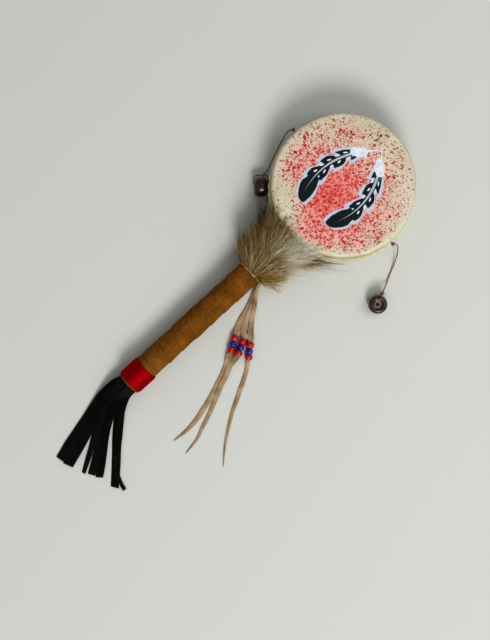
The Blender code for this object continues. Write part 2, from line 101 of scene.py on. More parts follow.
def newMaterial(name, roughness, **shaderValues):
    # gives the material, what adds a node to it, its shader, and where a point lies on the object in
    # mm, so that a pattern's scale is one over its size in mm
    material = bpy.data.materials.new(name)
    material.use_nodes = True
    tree = material.node_tree
    shader = feed(tree.nodes["Principled BSDF"], Roughness=roughness, **shaderValues)
    place = addNode(tree, "TexCoord").outputs["Object"]
    place = addNode(tree, "VectorMath MULTIPLY", place, (1 / mm, 1 / mm, 1 / mm))
    return material, partial(addNode, tree), shader, place


def addGrain(add, place, size, detail, rough, strength, depth):
    # a fine raised grain, with its size and depth in mm
    return add("Bump", Height=add("TexNoise", place, 1 / size, detail, rough), Strength=strength,
               Distance=depth * mm)


def mottledMaterial(name, roughness, stops, patches, grain=None, stretch=None, shown=None, **shaderValues):
    # colour that drifts in patches, given by their size in mm and detail; it may be drawn out one way,
    # and another colour may be shown as far as an attribute of the mesh says
    material, add, shader, place = newMaterial(name, roughness, **shaderValues)
    if stretch:
        place = add("Mapping POINT", place, Scale=stretch)
    size, detail = patches
    colour = add("ValToRGB", stops, add("TexNoise", place, 1 / size, detail))
    if shown:
        colour = add("Mix RGBA", add("Attribute " + shown[0]).outputs["Fac"], colour, shown[1])
    feed(shader, Base_Color=colour)
    if grain:
        feed(shader, Normal=addGrain(add, place, *grain))
    return material


def addObject(name, data):
    made = bpy.data.objects.new(name, data)
    bpy.context.scene.collection.objects.link(made)
    return made


def meshOf(name, shape):
    mesh = bpy.data.meshes.new(name)
    shape.to_mesh(mesh)
    shape.free()
    return mesh


def asPiece(name, shape, material, node=None, sharp=40):
    # a finished piece, which stands for the node; edges sharper than so many degrees stay crisp
    mesh = shape if isinstance(shape, bpy.types.Mesh) else meshOf(name, shape)
    mesh.materials.append(material)
    mesh.shade_smooth()
    if sharp:
        mesh.set_sharp_from_angle(angle=radians(sharp))
    piece = addObject(name, mesh)
    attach(piece, "root")
    if node:
        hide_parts(node)
    return piece


def distancesAlong(route):
    gone = [0.0]
    for a, b in zip(route, route[1:]):
        gone.append(gone[-1] + (b - a).length)
    return gone


def smoothRoute(points, spacing):
    # a smooth curve through points, read off at even spacing: both in mm, the curve in metres
    route = [Vector(p) * mm for p in points]
    route = [2 * route[0] - route[1], *route, 2 * route[-1] - route[-2]]
    fine = []
    steps = 16
    for a, b, c, d in zip(route, route[1:], route[2:], route[3:]):
        for t in (i / steps for i in range(steps)):
            fine.append(0.5 * (2 * b + (c - a) * t + (2 * a - 5 * b + 4 * c - d) * t**2
                               + (3 * b - a - 3 * c + d) * t**3))
    fine.append(route[-2])
    gone = distancesAlong(fine)
    even = np.linspace(0, gone[-1], max(2, round(gone[-1] / (spacing * mm))) + 1)
    return [Vector(p) for p in zip(*(np.interp(even, gone, part) for part in zip(*fine)))]


def limited(value):
    return min(1.0, max(0.0, value))


def middleOf(node):
    low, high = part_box(node)
    return (low + high) / 2


def squared(part, power):
    # a cosine or sine drawn out towards a square's corners
    return copysign(abs(part) ** power, part)


def round3(turn, size=1.0, third=0.0):
    return Vector((size * cos(turn), size * sin(turn), third))


def tidyFaces(shape):
    bmesh.ops.remove_doubles(shape, verts=shape.verts, dist=0.000001)
    bmesh.ops.recalc_face_normals(shape, faces=shape.faces)


def ringed(rows, sides, place):
    # a flat grid bent into a tube, one ring for each row: place(row, turn) is a point of it
    shape = bmesh.new()
    last = len(rows) - 1
    bmesh.ops.create_grid(shape, x_segments=sides, y_segments=last, size=0.5)
    for vertex in shape.verts:
        vertex.co = place(rows[round((vertex.co.y + 0.5) * last)], tau * (vertex.co.x + 0.5))
    tidyFaces(shape)
    return shape


def tubeAlong(route, sides, section, up=Vector((0, 0, 1))):
    # section(angle, distance) gives how far across and up a point lies from the route
    last = len(route) - 1
    rows = []
    for i, (point, gone) in enumerate(zip(route, distancesAlong(route))):
        ahead = (route[min(i + 1, last)] - route[max(i - 1, 0)]).normalized()
        side = ahead.cross(up).normalized()
        up = side.cross(ahead)
        rows.append((point, side, up, gone))

    def place(row, turn):
        point, side, above, gone = row
        across, lift = section(turn, gone)
        return point + side * across + above * lift

    shape = ringed(rows, sides, place)
    bmesh.ops.holes_fill(shape, edges=[e for e in shape.edges if e.is_boundary], sides=0)
    bmesh.ops.recalc_face_normals(shape, faces=shape.faces)
    return shape


def layOnGround(shape):
    # nothing soft goes through what it lies on
    for vertex in shape.verts:
        vertex.co.z = max(vertex.co.z, 0.05 * mm)


def joinShapes(first, others):
    # several closed shapes in one piece
    for other in others:
        scrap = meshOf("scrap", other)
        first.from_mesh(scrap)
        bpy.data.meshes.remove(scrap)
    return first


def turnedShape(profile, steps, closed=False):
    # (radius, height) points in metres, turned about Z
    shape = bmesh.new()
    verts = [shape.verts.new((r, 0, z)) for r, z in profile]
    edges = [shape.edges.new(pair) for pair in zip(verts, verts[1:])]
    if closed:
        edges.append(shape.edges.new((verts[-1], verts[0])))
    bmesh.ops.spin(shape, geom=[*verts, *edges], cent=(0, 0, 0), axis=(0, 0, 1), angle=tau,
                   steps=steps, use_merge=True)
    tidyFaces(shape)
    return shape


def roundedProfile(points, spacing):
    # the same smooth curve through (radius, height) points
    return [(p.x, p.z) for p in smoothRoute([(r, 0, z) for r, z in points], spacing)]


# the camera looks straight down from over a point of the handle: mm, and degrees of turn
viewpoint = {"over": (-109.4, -21.9), "height": 622, "turn": 42.5, "lens": 50}


def makeCamera():
    data = bpy.data.cameras.new("camera")
    data.lens = viewpoint["lens"]
    camera = addObject("camera", data)
    camera.location = Vector((*viewpoint["over"], viewpoint["height"])) * mm
    camera.rotation_euler.z = -radians(viewpoint["turn"])
    bpy.context.scene.camera = camera


makeCamera()
print("camera placed")

# sizes are in mm; the handle's stations are distances from the drum's lip along its axis
drum = {
    "height": 30.0, "lip": 50.0, "wall": 48.6, "shoulder": 2.6, "hide": 1.6, "gap": 0.3,
    "steps": 320, "lipWaves": 43, "lipDepth": 0.36, "pleat": 4.5, "pleatDepth": 0.35, "wander": 0.18,
    "uneven": 0.45, "cordHoles": (87, -90), "cordHoleRadius": 0.95,
}
grip = {
    "radius": 8.9, "inside": 8.0, "wrapStart": 26.0, "wrapEnd": 127.0, "pitch": 12.6, "lap": 0.5,
    "bindingStart": 131.5, "bindingEnd": 146.7, "bindingRadius": 9.65, "butt": 148.0,
    "buttRadius": 8.6, "socketRadius": 7.4, "socketDepth": 10.0, "sides": 88, "row": 0.36,
}
grip["core"] = grip["radius"] - 0.45
droop = asin((drum["height"] / 2 - grip["bindingRadius"]) / grip["bindingEnd"])


def onHandle(distance, side=0.0, up=0.0):
    along = Vector((-cos(droop), 0, -sin(droop)))
    above = Vector((-sin(droop), 0, cos(droop)))
    start = Vector((-drum["lip"], 0, drum["height"] / 2))
    return (start + along * distance + above * up + Vector((0, side, 0))) * mm


def aroundHandle(distance, turn, radius):
    # turn 0 is the top of the handle and a quarter turn is its left side
    return onHandle(distance, radius * sin(turn), radius * cos(turn))


# waxed linen cord: thin plied thread, stiff with wax, so it shines a little
cord = {
    "radius": 0.45, "twist": 2.4, "groove": 0.14, "sides": 12, "spacing": 0.3,
    "knotRadius": 0.44, "knotSize": 0.34, "knotSides": 8, "seamKnot": 1.25,
    "stops": [(0.3, "#614337"), (0.5, "#8A695B"), (0.75, "#B08C7A")],
    "left": [
        (2.3, 52.4, 15.0), (0.4, 53.1, 15.0), (-2.2, 53.1, 14.8), (-6.0, 52.1, 14.4), (-10.2, 50.6, 13.9),
        (-14.6, 49.0, 13.3), (-19.0, 47.3, 12.5), (-23.1, 45.6, 11.4), (-26.8, 44.2, 9.9),
        (-29.6, 43.6, 8.3), (-31.8, 43.5, 7.0),
    ],
    "right": [
        (0.4, -52.3, 15.0), (1.4, -53.1, 14.6), (2.2, -54.3, 12.8), (1.8, -56.3, 9.6), (-0.2, -59.0, 6.2),
        (-3.7, -61.9, 3.0), (-8.1, -64.3, 1.1), (-13.0, -66.6, 0.6), (-17.7, -69.0, 1.4),
        (-21.8, -70.6, 3.9), (-25.4, -71.8, 6.6), (-26.8, -72.2, 7.8),
    ],
    # from the knot, round the bead's rim and into its bore; from its bore and round the rim, back again
    "into": [(8.2, 3.1), (7.4, 4.5), (6.1, 5.2), (4.4, 5.35), (2.9, 5.2), (1.7, 4.6), (1.0, 3.5), (0.7, 1.8)],
    "back": [(7.4, -4.4), (8.0, -2.6), (8.2, -0.1)],
}
cord["loop"] = [(x, 0, z) for x, z in [*cord["into"], (0.6, 0), *((x, -z) for x, z in cord["into"][:1:-1]),
                                       *cord["back"]]]
bead = {
    "radius": 6.7, "half": 4.6, "hole": 1.2, "mouth": 1.95, "tilt": 8, "steps": 64,
    "leftTurn": 135.5, "leftReach": 54.9, "rightPlace": (-34.2, -76.0, 5.45), "rightHeading": 27.5,
    # the bore's near-white colour is partly painted light, standing for the light seen in the hole
    "stops": [(0.32, "#1A0D0A"), (0.5, "#3B1D15"), (0.72, "#5E3122")], "bare": "#ECE2DC",
    "stretch": (0.9, 0.9, 0.12),
    # radius in mm and height as a share of the half length, from the hole's mouth to the waist
    "profile": [(2.3, 0.83), (2.9, 0.85), (3.45, 0.91), (4.1, 1.0), (4.9, 0.97), (5.8, 0.82), (6.45, 0.52)],
}


threadFinish = mottledMaterial("waxed linen thread", 0.42, cord["stops"], (3, 2), (0.25, 3, 0.5, 0.4, 0.05),
                               Coat_Weight=0.15)
# dark stained hardwood under clear lacquer: a deep brown with a sharp highlight; the bore was drilled
# after the stain, so its wood is bare; its near-white colour is partly painted light, for the light seen in
# the hole
woodFinish = mottledMaterial("lacquered hardwood", 0.3, bead["stops"], (1, 4), (1, 4, 0.5, 0.25, 0.06),
                             bead["stretch"], ("bore", bead["bare"]), Coat_Weight=0.7, Coat_Roughness=0.12)


def pliedSection(angle, distance):
    # three plies that twist as the thread runs on
    ply = abs(cos(1.5 * angle + tau * distance / (cord["twist"] * mm)))
    return round3(angle, cord["radius"] * (1 - cord["groove"] + cord["groove"] * ply) * mm)[:2]


def knotShape(centre, axis):
    # a tight overhand knot of the same thread, drawn up along an axis
    turned = axis.to_track_quat("Z", "Y")
    loop = []
    for t in (tau * i / 60 for i in range(61)):
        x, y = sin(t) + 2 * sin(2 * t), cos(t) - 2 * cos(2 * t)
        loop.append(centre + turned @ Vector((x, y, -1.9 * sin(3 * t))) * cord["knotSize"] * mm)
    return tubeAlong(loop, cord["knotSides"], lambda angle, _: round3(angle, cord["knotRadius"] * mm)[:2],
                     turned @ Vector((0.3, 0.2, 0.93)))


def beadMatrix(side):
    if side == "left":
        outward = round3(radians(bead["leftTurn"]))
        towardsKnot = Vector((outward.y, -outward.x, 0))
        matrix = Matrix((towardsKnot, towardsKnot.cross(outward), -outward)).transposed().to_4x4()
        matrix.translation = outward * bead["leftReach"] * mm
        matrix.translation.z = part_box("beater_left")[0].z + bead["radius"] * mm
        return matrix
    return (Matrix.Translation(Vector(bead["rightPlace"]) * mm)
            @ Matrix.Rotation(radians(bead["rightHeading"]), 4, "Z")
            @ Matrix.Rotation(-radians(bead["tilt"]), 4, "Y"))


def makeBeater(side, matrix):
    # a turned bead with dished ends and a bore that narrows in the middle
    half, radius, mouth = bead["half"], bead["radius"], bead["mouth"]
    upper = roundedProfile([(bead["hole"], 0.0), (mouth, half * 0.74),
                            *((r, half * h) for r, h in bead["profile"]), (radius, half * 0.12)], 0.4)
    shape = turnedShape(upper + [(r, -z) for r, z in reversed(upper[1:])], bead["steps"], closed=True)
    # the faces of the bore, which carry the near-white painted light
    bore = shape.verts.layers.float.new("bore")
    for vertex in shape.verts:
        vertex[bore] = hypot(vertex.co.x, vertex.co.y) < (mouth + 0.1) * mm
    bmesh.ops.transform(shape, matrix=matrix, verts=shape.verts)
    return asPiece(f"beater{side.title()}", shape, woodFinish, f"beater_{side}")


def threadPiece(name, side, shape, node):
    return asPiece(name + side.title(), shape, threadFinish, f"{node}_{side}")


def makeCord(side):
    matrix = beadMatrix(side)
    turned = matrix.to_3x3()
    beater = makeBeater(side, matrix)
    route = smoothRoute(cord[side], cord["spacing"])
    thread = threadPiece("cord", side, tubeAlong(route, cord["sides"], pliedSection), "cord")
    around = [matrix @ p for p in smoothRoute(cord["loop"], cord["spacing"])]
    loop = threadPiece("beadLoop", side, tubeAlong(around, cord["sides"], pliedSection,
                                                   turned @ Vector((0, 1, 0))), "bead_loop")
    tie = knotShape(middleOf(f"bead_knot_{side}"), turned @ Vector((1, 0, 0.2)))
    knot = threadPiece("beadKnot", side, tie, "bead_knot")
    distancesAlong(route)[-1]


def makeSeamKnot(side):
    # the knot sits outside the seam, and the cord's end goes in through the wall
    low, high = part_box(f"seam_knot_{side}")
    middle = (low + high) / 2
    inner = middle.copy()
    size = cord["seamKnot"] * mm
    middle.y, inner.y = (high.y - size, low.y) if middle.y > 0 else (low.y + size, high.y)
    tail = tubeAlong([middle.lerp(inner, i / 12) for i in range(13)], cord["knotSides"], pliedSection)
    threadPiece("seamKnot", side, joinShapes(knotShape(middle, middle - inner), [tail]), "seam_knot")


for side in ("left", "right"):
    makeCord(side)
    makeSeamKnot(side)
print("cords and beaters made")

# deerskin lace: soft split hide cut by hand, pale tan and napped, each lace drawn through three beads
lace = {
    "thick": 0.9, "lead": (2.2, 5.1), "neck": 2.2, "gather": 1.2, "waist": 0.35, "taper": 0.26, "tip": 0.3,
    "meanWidth": 3.4, "spacing": 1.0, "pitch": 4.25, "sides": 14, "wander": 0.12, "uneven": 0.14,
    # in pitches from the middle bead: points of the route through the beads, and where it is narrow
    "column": (-1.9, -1, 0, 1, 1.75), "narrow": 1.42,
    "stops": [(0.3, "#8A7356"), (0.52, "#AC9576"), (0.75, "#C4B196")],
    "red": (2.75, 4.1), "blue": (2.4, 3.8), "hole": 1.3, "skim": 0.1,
    # radius as a share of the bead's and height as a share of its half length
    "profile": [(0.62, -1.0), (0.86, -0.8), (1.0, -0.3), (1.0, 0.3), (0.86, 0.8), (0.62, 1.0)],
}
# the middle bead's place, the way that the beads lie, widths past them, and the route on each side
laces = {
    "left": {"middle": (-126.9, -28.5), "heading": 210, "wide": (4.6, 3.6, 2.9), "before": [
        (-78.5, -8.0, 4.0), (-87.5, -9.9, 2.6), (-95, -13.6, 0.9), (-103, -17.0, 0.7), (-111, -19.6, 0.8),
        (-117.5, -22.8, 1.3),
    ], "after": [
        (-139.8, -36.2, 0.6), (-145.1, -38.9, 0.6), (-152, -41.6, 0.6), (-159.5, -44.3, 0.6),
        (-166.8, -46.7, 0.6), (-174.5, -48.7, 0.6), (-182.2, -50.6, 0.6), (-191.5, -51.4, 0.6),
        (-203.4, -50.8, 0.6),
    ]},
    "middle": {"middle": (-124.5, -34.0), "heading": 205, "wide": (4.4, 3.4, 2.2), "before": [
        (-78.5, -8.3, 5.3), (-87.2, -10.5, 3.8), (-94, -14.3, 2.0), (-100.5, -18.4, 1.6),
        (-108.3, -22.1, 1.4), (-114.9, -26.4, 1.8),
    ], "after": [
        (-138.7, -38.2, 1.5), (-144.2, -41.1, 1.6), (-151.1, -43.6, 1.6), (-157.6, -46.5, 1.5),
        (-163.6, -49.6, 1.0), (-170.3, -52.6, 0.6), (-177.1, -55.4, 0.6), (-184.1, -58.1, 0.6),
        (-191, -60.9, 0.6), (-203.1, -62.8, 0.6),
    ]},
    "right": {"middle": (-121.8, -40.0), "heading": 220, "wide": (2.4, 2.9, 1.6), "before": [
        (-78.5, -8.6, 6.6), (-87, -11.0, 5.0), (-93.2, -15.2, 3.2), (-98.5, -19.8, 2.5),
        (-105.4, -24.8, 1.8), (-111.6, -30.3, 1.9),
    ], "after": [
        (-131.0, -47.6, 0.6), (-136.8, -51.3, 0.6), (-148.2, -57.5, 0.6), (-160.4, -64.1, 0.6),
        (-170.7, -71.0, 0.6), (-180.3, -78.3, 0.6), (-190.1, -87.4, 0.6),
    ]},
}
laceFinish = mottledMaterial("deerskin lace", 0.85, lace["stops"], (9, 4), (0.5, 4, 0.5, 0.6, 0.1),
                             Sheen_Weight=0.25, Sheen_Roughness=0.5)
# pressed glass beads: dense opaque colour, fire-polished, so small bright highlights
glass = {
    kind: mottledMaterial(f"{kind} pressed glass", 0.1, [(0.3, deep), (0.7, base)], (2.5, 2),
                          Coat_Weight=0.5, Coat_Roughness=0.04)
    for kind, base, deep in (("red", "#D01C30", "#9C0B1C"), ("blue", "#2F33B4", "#171A78"))
}


def makeGlassBead(side, number, heading):
    node = f"thong_{side}_bead_{number}"
    kind = "blue" if number == 2 else "red"
    radius, length = lace[kind]
    half, hole = length / 2, lace["hole"]
    profile = roundedProfile([
        (hole, -half * 0.55), (hole + 0.1, -half * 0.88),
        *((radius * r, half * h) for r, h in lace["profile"]), (hole + 0.1, half * 0.88), (hole, half * 0.55),
    ], 0.35)
    shape = turnedShape(profile, 28, closed=True)
    turned = Matrix.Rotation(radians(heading), 4, "Z") @ Matrix.Rotation(pi / 2, 4, "Y")
    bmesh.ops.transform(shape, matrix=Matrix.Translation(middleOf(node)) @ turned, verts=shape.verts)
    return asPiece(f"glass{side.title()}{number}", shape, glass[kind], node)


def makeLace(side, facts):
    along = round3(radians(facts["heading"]))
    centre = Vector((*facts["middle"], lace["red"][0] + lace["skim"]))
    column = [centre + along * lace["pitch"] * step for step in lace["column"]]
    route = smoothRoute([*facts["before"], *column, *facts["after"]], lace["spacing"])
    distances = distancesAlong(route)
    whole = distances[-1]
    beads = distances[min(range(len(route)), key=lambda i: (route[i] - centre * mm).length)]
    reach = lace["narrow"] * lace["pitch"] * mm

    def width(distance):
        # narrow in the beads, then it widens, has a waist and tapers over its last quarter
        past = distance - beads
        gathered = limited((abs(past) - reach) / (lace["gather"] * mm))
        if past < 0:
            full = lace["lead"][0] + (lace["lead"][1] - lace["lead"][0]) * (distance / beads) ** 1.5
        else:
            share = past / (whole - beads)
            start, waist, end = facts["wide"]
            full = start + (waist - start) * min(1.0, share / lace["waist"])
            full += (end - waist) * limited((share - lace["waist"]) / 0.4)
            full = full * min(1.0, (1 - share) / lace["taper"]) ** 0.7 + lace["tip"]
        return (lace["neck"] + (full - lace["neck"]) * gathered) * mm

    def section(angle, distance):
        c, s = cos(angle), sin(angle)
        w = width(distance)
        uneven = lace["uneven"] * noise((distance / (4 * mm), 3.1, 0))
        t = min(lace["thick"] * mm, w) * (1 - lace["uneven"] + uneven)
        wander = lace["wander"] * mm * noise((distance / (5 * mm), 9.7, c))
        return 0.5 * w * squared(c, 0.45) + wander, 0.5 * t * squared(s, 0.7)

    shape = tubeAlong(route, lace["sides"], section)
    layOnGround(shape)
    strip = asPiece(f"lace{side.title()}", shape, laceFinish, f"thong_{side}", sharp=60)
    glassBeads = [makeGlassBead(side, number, facts["heading"]) for number in (1, 2, 3)]


for side, facts in laces.items():
    makeLace(side, facts)
print("laces and glass beads made")

# rawhide: two cups of hide moulded wet, dried hard, pale and waxy with faint mottling and pores
hide = {
    "stops": [(0.3, "#CAC1A3"), (0.5, "#D6CEB9"), (0.72, "#E0DACB")],
    # the wall's olive and the seam's dark line are painted shade
    "wallShade": [(0.35, "#918760"), (0.62, "#C1B68A")], "edge": "#D0C9A6", "seam": "#918760", "speck": "#5A4A30",
    "patch": 16, "pore": 1.7, "poresShown": 0.26, "creases": (5, 6, 0.62, 0.35, 0.35),
}


def dryHide(point):
    # hide dries unevenly: pleats down the wall, a wavy trimmed lip, faces that are not quite flat
    x, y, z = (c / mm for c in point)
    wall, shoulder = drum["wall"], drum["shoulder"]
    radius, turn = hypot(x, y), atan2(y, x)
    seam = abs(z - drum["height"] / 2)
    radius += drum["uneven"] * min(1.0, radius / wall) ** 4 * noise(round3(turn, 1.3, 7.0))
    if radius > wall + 0.5:
        wave = sin(drum["lipWaves"] * turn + 2.2 * sin(3 * turn) + 1.6 * sin(7 * turn + 1))
        share = min(1.0, (radius - wall) / (drum["lip"] - wall))
        radius += share * (drum["lipDepth"] * wave + 0.25 * noise(round3(turn, 3, 4.0)))
        z += 0.10 * share * wave
    elif radius > wall - shoulder:
        ridge = noise((turn * wall / drum["pleat"], seam / 16, 0.5))
        fade = min(1.0, (radius - wall + shoulder) / shoulder) * min(1, seam / 5)
        radius += drum["pleatDepth"] * fade * (ridge - 0.5 * abs(ridge))
    level = limited((seam - 13.0) / 2.0) * limited((wall - radius) / 6)
    sag = noise((x / 20, y / 20, z / 60)) + 0.4 * noise((x / 7, y / 7, z / 60))
    z += drum["wander"] * level * (sag if z > drum["height"] / 2 else max(0.0, sag))
    return round3(turn, radius, z) * mm


def arcPoints(centre, radius, start, end, steps):
    angles = [radians(start + (end - start) * i / steps) for i in range(steps + 1)]
    return [(centre[0] + radius * cos(a), centre[1] + radius * sin(a)) for a in angles]


def headProfile():
    # the lower head: out along its underside, up the wall, over the lip, down inside, back in
    wall, shoulder, thick, lip = drum["wall"], drum["shoulder"], drum["hide"], drum["lip"]
    flat = wall - shoulder
    top = (drum["height"] - drum["gap"]) / 2
    return [(r * mm, z * mm) for r, z in [
        *((flat * i / 12, 0) for i in range(12)), *arcPoints((flat, shoulder), shoulder, -90, 0, 8),
        (wall, 7), (wall, 9.2), (wall, 11.2), (wall + 0.1, 12.4), (wall + 0.5, 13.2),
        (lip - 0.35, 13.8), (lip, 14.2), (lip, top - 0.15), (lip - 0.2, top), (wall - 0.4, top),
        (wall - thick, top - 0.4), (wall - thick, 9),
        *arcPoints((flat, shoulder), shoulder - thick, 0, -90, 4), (flat / 2, thick), (0, thick)]]


def cutRound(piece, place, rotation, radius, depth, steps=48):
    # a round hole, cut and applied
    cutter = bmesh.new()
    bmesh.ops.create_cone(cutter, cap_ends=True, segments=steps, radius1=radius * mm, radius2=radius * mm,
                          depth=depth * mm)
    tool = addObject("cutter", meshOf("cutter", cutter))
    tool.location, tool.rotation_euler = place, rotation
    cut = piece.modifiers.new("hole", "BOOLEAN")
    cut.operation, cut.object = "DIFFERENCE", tool
    bpy.context.view_layer.update()
    old, used = piece.data, tool.data
    piece.data = bpy.data.meshes.new_from_object(piece.evaluated_get(bpy.context.evaluated_depsgraph_get()))
    piece.modifiers.clear()
    piece.data.name = piece.name
    bpy.data.objects.remove(tool)
    bpy.data.meshes.remove(old)
    bpy.data.meshes.remove(used)


def addHideColour(add, place):
    # mottled cream with dark pores, an olive painted shade over the wall, pale at the trimmed lip, and
    # painted shade in the gap at the seam
    patch = add("TexNoise", place, 1 / hide["patch"], 5, 0.6)
    colour = add("ValToRGB", hide["stops"], patch)
    pore = add("TexVoronoi F1", place, 1 / hide["pore"])
    chance = add("SeparateColor", pore.outputs["Color"])
    speck = add("Math MULTIPLY", add("Math LESS_THAN", chance, hide["poresShown"]),
                add("MapRange", pore, 0.10, 0.16, 0.55, 0))
    colour = add("Mix RGBA", speck, colour, hide["speck"])
    wallShade = add("ValToRGB", hide["wallShade"], patch)
    height = add("SeparateXYZ", place).outputs["Z"]
    fromSeam = add("Math ABSOLUTE", add("Math SUBTRACT", height, drum["height"] / 2))
    # bands: olive painted shade over the wall, the pale trimmed lip, painted shade in the seam's gap
    for start, end, strength, band in ((12.0, 14.8, 0.85, wallShade), (1.6, 2.6, 0.8, hide["edge"]),
                                       (0.25, 0.5, 0.9, hide["seam"])):
        mask = add("MapRange SMOOTHSTEP", fromSeam, start, end, strength, 0)
        colour = add("Mix RGBA", mask, colour, band)
    return colour


def makeHideMaterial():
    # light goes a little way into dried hide, so it looks waxy
    material, add, shader, place = newMaterial("rawhide", 0.5, Subsurface_Weight=0.08, Subsurface_Scale=0.002)
    feed(shader, Base_Color=addHideColour(add, place), Normal=addGrain(add, place, *hide["creases"]))
    return material


# acrylic spattered from a brush: matt round drops, thick in the middle, over a mist of the finest
paint = {
    "middle": (-12.0, -1.0), "dense": 8.0, "thin": 77.0, "rim": 45.0, "rimSoft": 6.0, "rimWander": 5.0,
    "drift": 18.0, "bare": (-47.0, 24.0), "bareStart": 7.0, "bareEnd": 31.0,
    "mist": [(0.3, "#E4CABA"), (0.68, "#EAB4AA"), (1.0, "#E8958B")], "mistFrom": 0.22, "mistTo": 0.95,
    "drops": [(0.2, "#62302A"), (0.5, "#BA2630"), (0.9, "#D2343A")], "finest": 0.68,
}
# cell size in mm, smallest and largest drop as a share of the cell, share of cells filled where
# the spray is bare and where it is thick, and how strong the colour is
sprays = [(1.1, 0.20, 0.66, 0.05, 1.5, 0.75), (1.7, 0.18, 0.60, 0.05, 1.2, 0.85),
          (2.8, 0.14, 0.50, -0.08, 0.8, 0.9), (7.0, 0.08, 0.24, 0.03, 0.3, 0.95)]
flicks = {"drops": (2.4, 0.14, 0.42, 0.0, 1.5, 0.92), "stretch": 2.5, "towards": (0.62, 0.78), "from": 14.0,
          "to": 28.0, "rows": 40.0}
feathers = [
    {"base": (22.5, 9.0), "heading": 176.6, "bow": 0.0108, "side": 1.0},
    {"base": (24.5, -8.5), "heading": 184.2, "bow": -0.0115, "side": -1.0},
]
feather = {
    "length": 51.0, "halfWidth": 6.7, "spike": 13.0, "outline": 2.1, "barbSlope": -1.1, "barbShift": 2.2,
    "black": "#0C1F26", "rim": "#C6CFDE", "white": "#E6ECF2", "quill": "#B9C1CE",
    # half width of the vane along the quill, and how far each barb reaches, as shares
    "vane": [(0.0, 0.05), (0.07, 0.5), (0.25, 0.74), (0.5, 0.78), (0.78, 0.85), (0.93, 0.62), (1.0, 0.0)],
    "slits": [(0.0, 1.0), (0.10, 1.0), (0.15, 0.3), (0.21, 1.0), (0.33, 0.9), (0.39, 0.42), (0.47, 0.95),
              (0.56, 0.9), (0.60, 0.7), (0.66, 1.0), (1.0, 1.0)],
    # a white mark every so many mm along the barbs, off the quill, from and to along it
    "halfBeat": 2.9, "markOff": 2.2, "markLong": 1.25, "markWide": 0.7, "marksFrom": 6.0, "marksTo": 32.0,
    "quillEnd": 43.86, "quillHalf": 0.85, "quillTaper": 0.028, "downLong": 5.0, "downWide": 4.4,
}
# sums in mm from the base of the vane and from its quill: each term is a number, a size above, what
# addFeather starts from, an earlier sum or a sum of its own; an inside is above zero in its shape
featherSums = {
    "toTip": ("SUBTRACT", "length", "along"),
    "across": ("MULTIPLY_ADD", ("MULTIPLY", "along", "toTip"), "bow", "sideways"),
    "off": ("ABSOLUTE", "across"),
    "behindOff": ("MULTIPLY", "off", -1),
    "barb": ("MULTIPLY_ADD", "off", "barbSlope", ("MULTIPLY_ADD", ("SIGN", "across"), "barbShift", "along")),
    "reach": ("MULTIPLY", ("vane", ("DIVIDE", "along", "length")), ("slits", ("DIVIDE", "barb", "length"))),
    "edge": ("MULTIPLY_ADD", "reach", "halfWidth", ("MULTIPLY_ADD", "ragged", 0.7, -0.35)),
    "vaneInside": ("MINIMUM", ("SUBTRACT", "edge", "off"), ("MINIMUM", "along", "toTip")),
    "rimInside": ("ADD", "vaneInside", "outline"),
    "offBeat": ("SUBTRACT", "halfBeat", ("PINGPONG", "barb", "halfBeat")),
    "markAlong": ("DIVIDE", "offBeat", "markLong"),
    "markAcross": ("DIVIDE", ("SUBTRACT", "off", "markOff"), "markWide"),
    "markOval": ("MULTIPLY_ADD", "markAcross", "markAcross", ("MULTIPLY", "markAlong", "markAlong")),
    "markStretch": ("MINIMUM", ("SUBTRACT", "along", "marksFrom"), ("SUBTRACT", "marksTo", "along")),
    "markInside": ("MINIMUM", ("SUBTRACT", 0.9, "markOval"), "markStretch"),
    "quillLeft": ("MULTIPLY", ("SUBTRACT", "quillEnd", "along"), "quillTaper"),
    "quillInside": ("MINIMUM", ("SUBTRACT", ("MINIMUM", "quillLeft", "quillHalf"), "off"), "along"),
    "spikeAcross": ("MULTIPLY_ADD", ("ADD", "along", "spike"), 0.1, "behindOff"),
    "spikeInside": ("MINIMUM", "spikeAcross", ("MULTIPLY", "along", -1)),
    "downAlong": ("DIVIDE", "along", "downLong"),
    "downAcross": ("DIVIDE", "across", "downWide"),
    "downOval": ("MULTIPLY_ADD", "downAcross", "downAcross", ("MULTIPLY", "downAlong", "downAlong")),
    "downInside": ("SUBTRACT", ("MULTIPLY_ADD", "fluff", -3.4, 2.7), "downOval"),
}
# painted one over the other: the colour, what it lies inside, and its soft edge in mm
featherCoats = [("rim", "rimInside", 0.15), ("black", "vaneInside", 0.15), ("white", "markInside", 0.2),
                ("quill", "quillInside", 0.12), ("white", "spikeInside", 0.12), ("down", "downInside", 0.15)]


def addSpray(add, flat, density, drops, ground):
    # round drops of many sizes; a drop is there when its cell's own number is under the density
    cellSize, smallest, largest, whereBare, whereThick, strength = drops
    cell = add("TexVoronoi F1", flat, 1 / cellSize)
    own = add("SeparateColor", cell.outputs["Color"])
    size = add("MapRange", own, 0, 1, smallest, largest)
    finer = add("MapRange", density, 0, 1, paint["finest"])  # where the spray lies thin
    inside = add("Math SUBTRACT", add("Math MULTIPLY", size, finer), cell)
    drop = add("MapRange", inside, -0.04, 0.06, 0, strength)
    filled = add("MapRange", density, 0, 1, whereBare, whereThick)
    there = add("Math LESS_THAN", own.outputs["Green"], filled)
    # thick drops in the middle are bright, thin ones near the rim dry brown
    wet = add("Mix FLOAT", 0.68, own.outputs["Blue"], density)
    return add("Mix RGBA", add("Math MULTIPLY", drop, there), ground, add("ValToRGB", paint["drops"], wet))


def addSum(add, known, term):
    if not isinstance(term, tuple):
        return known.get(term, term)
    what, *terms = term
    terms = [addSum(add, known, inner) for inner in terms]
    if what in feather:
        return add("FloatCurve", feather[what], Value=terms[0])
    return add("Math " + what, *terms)


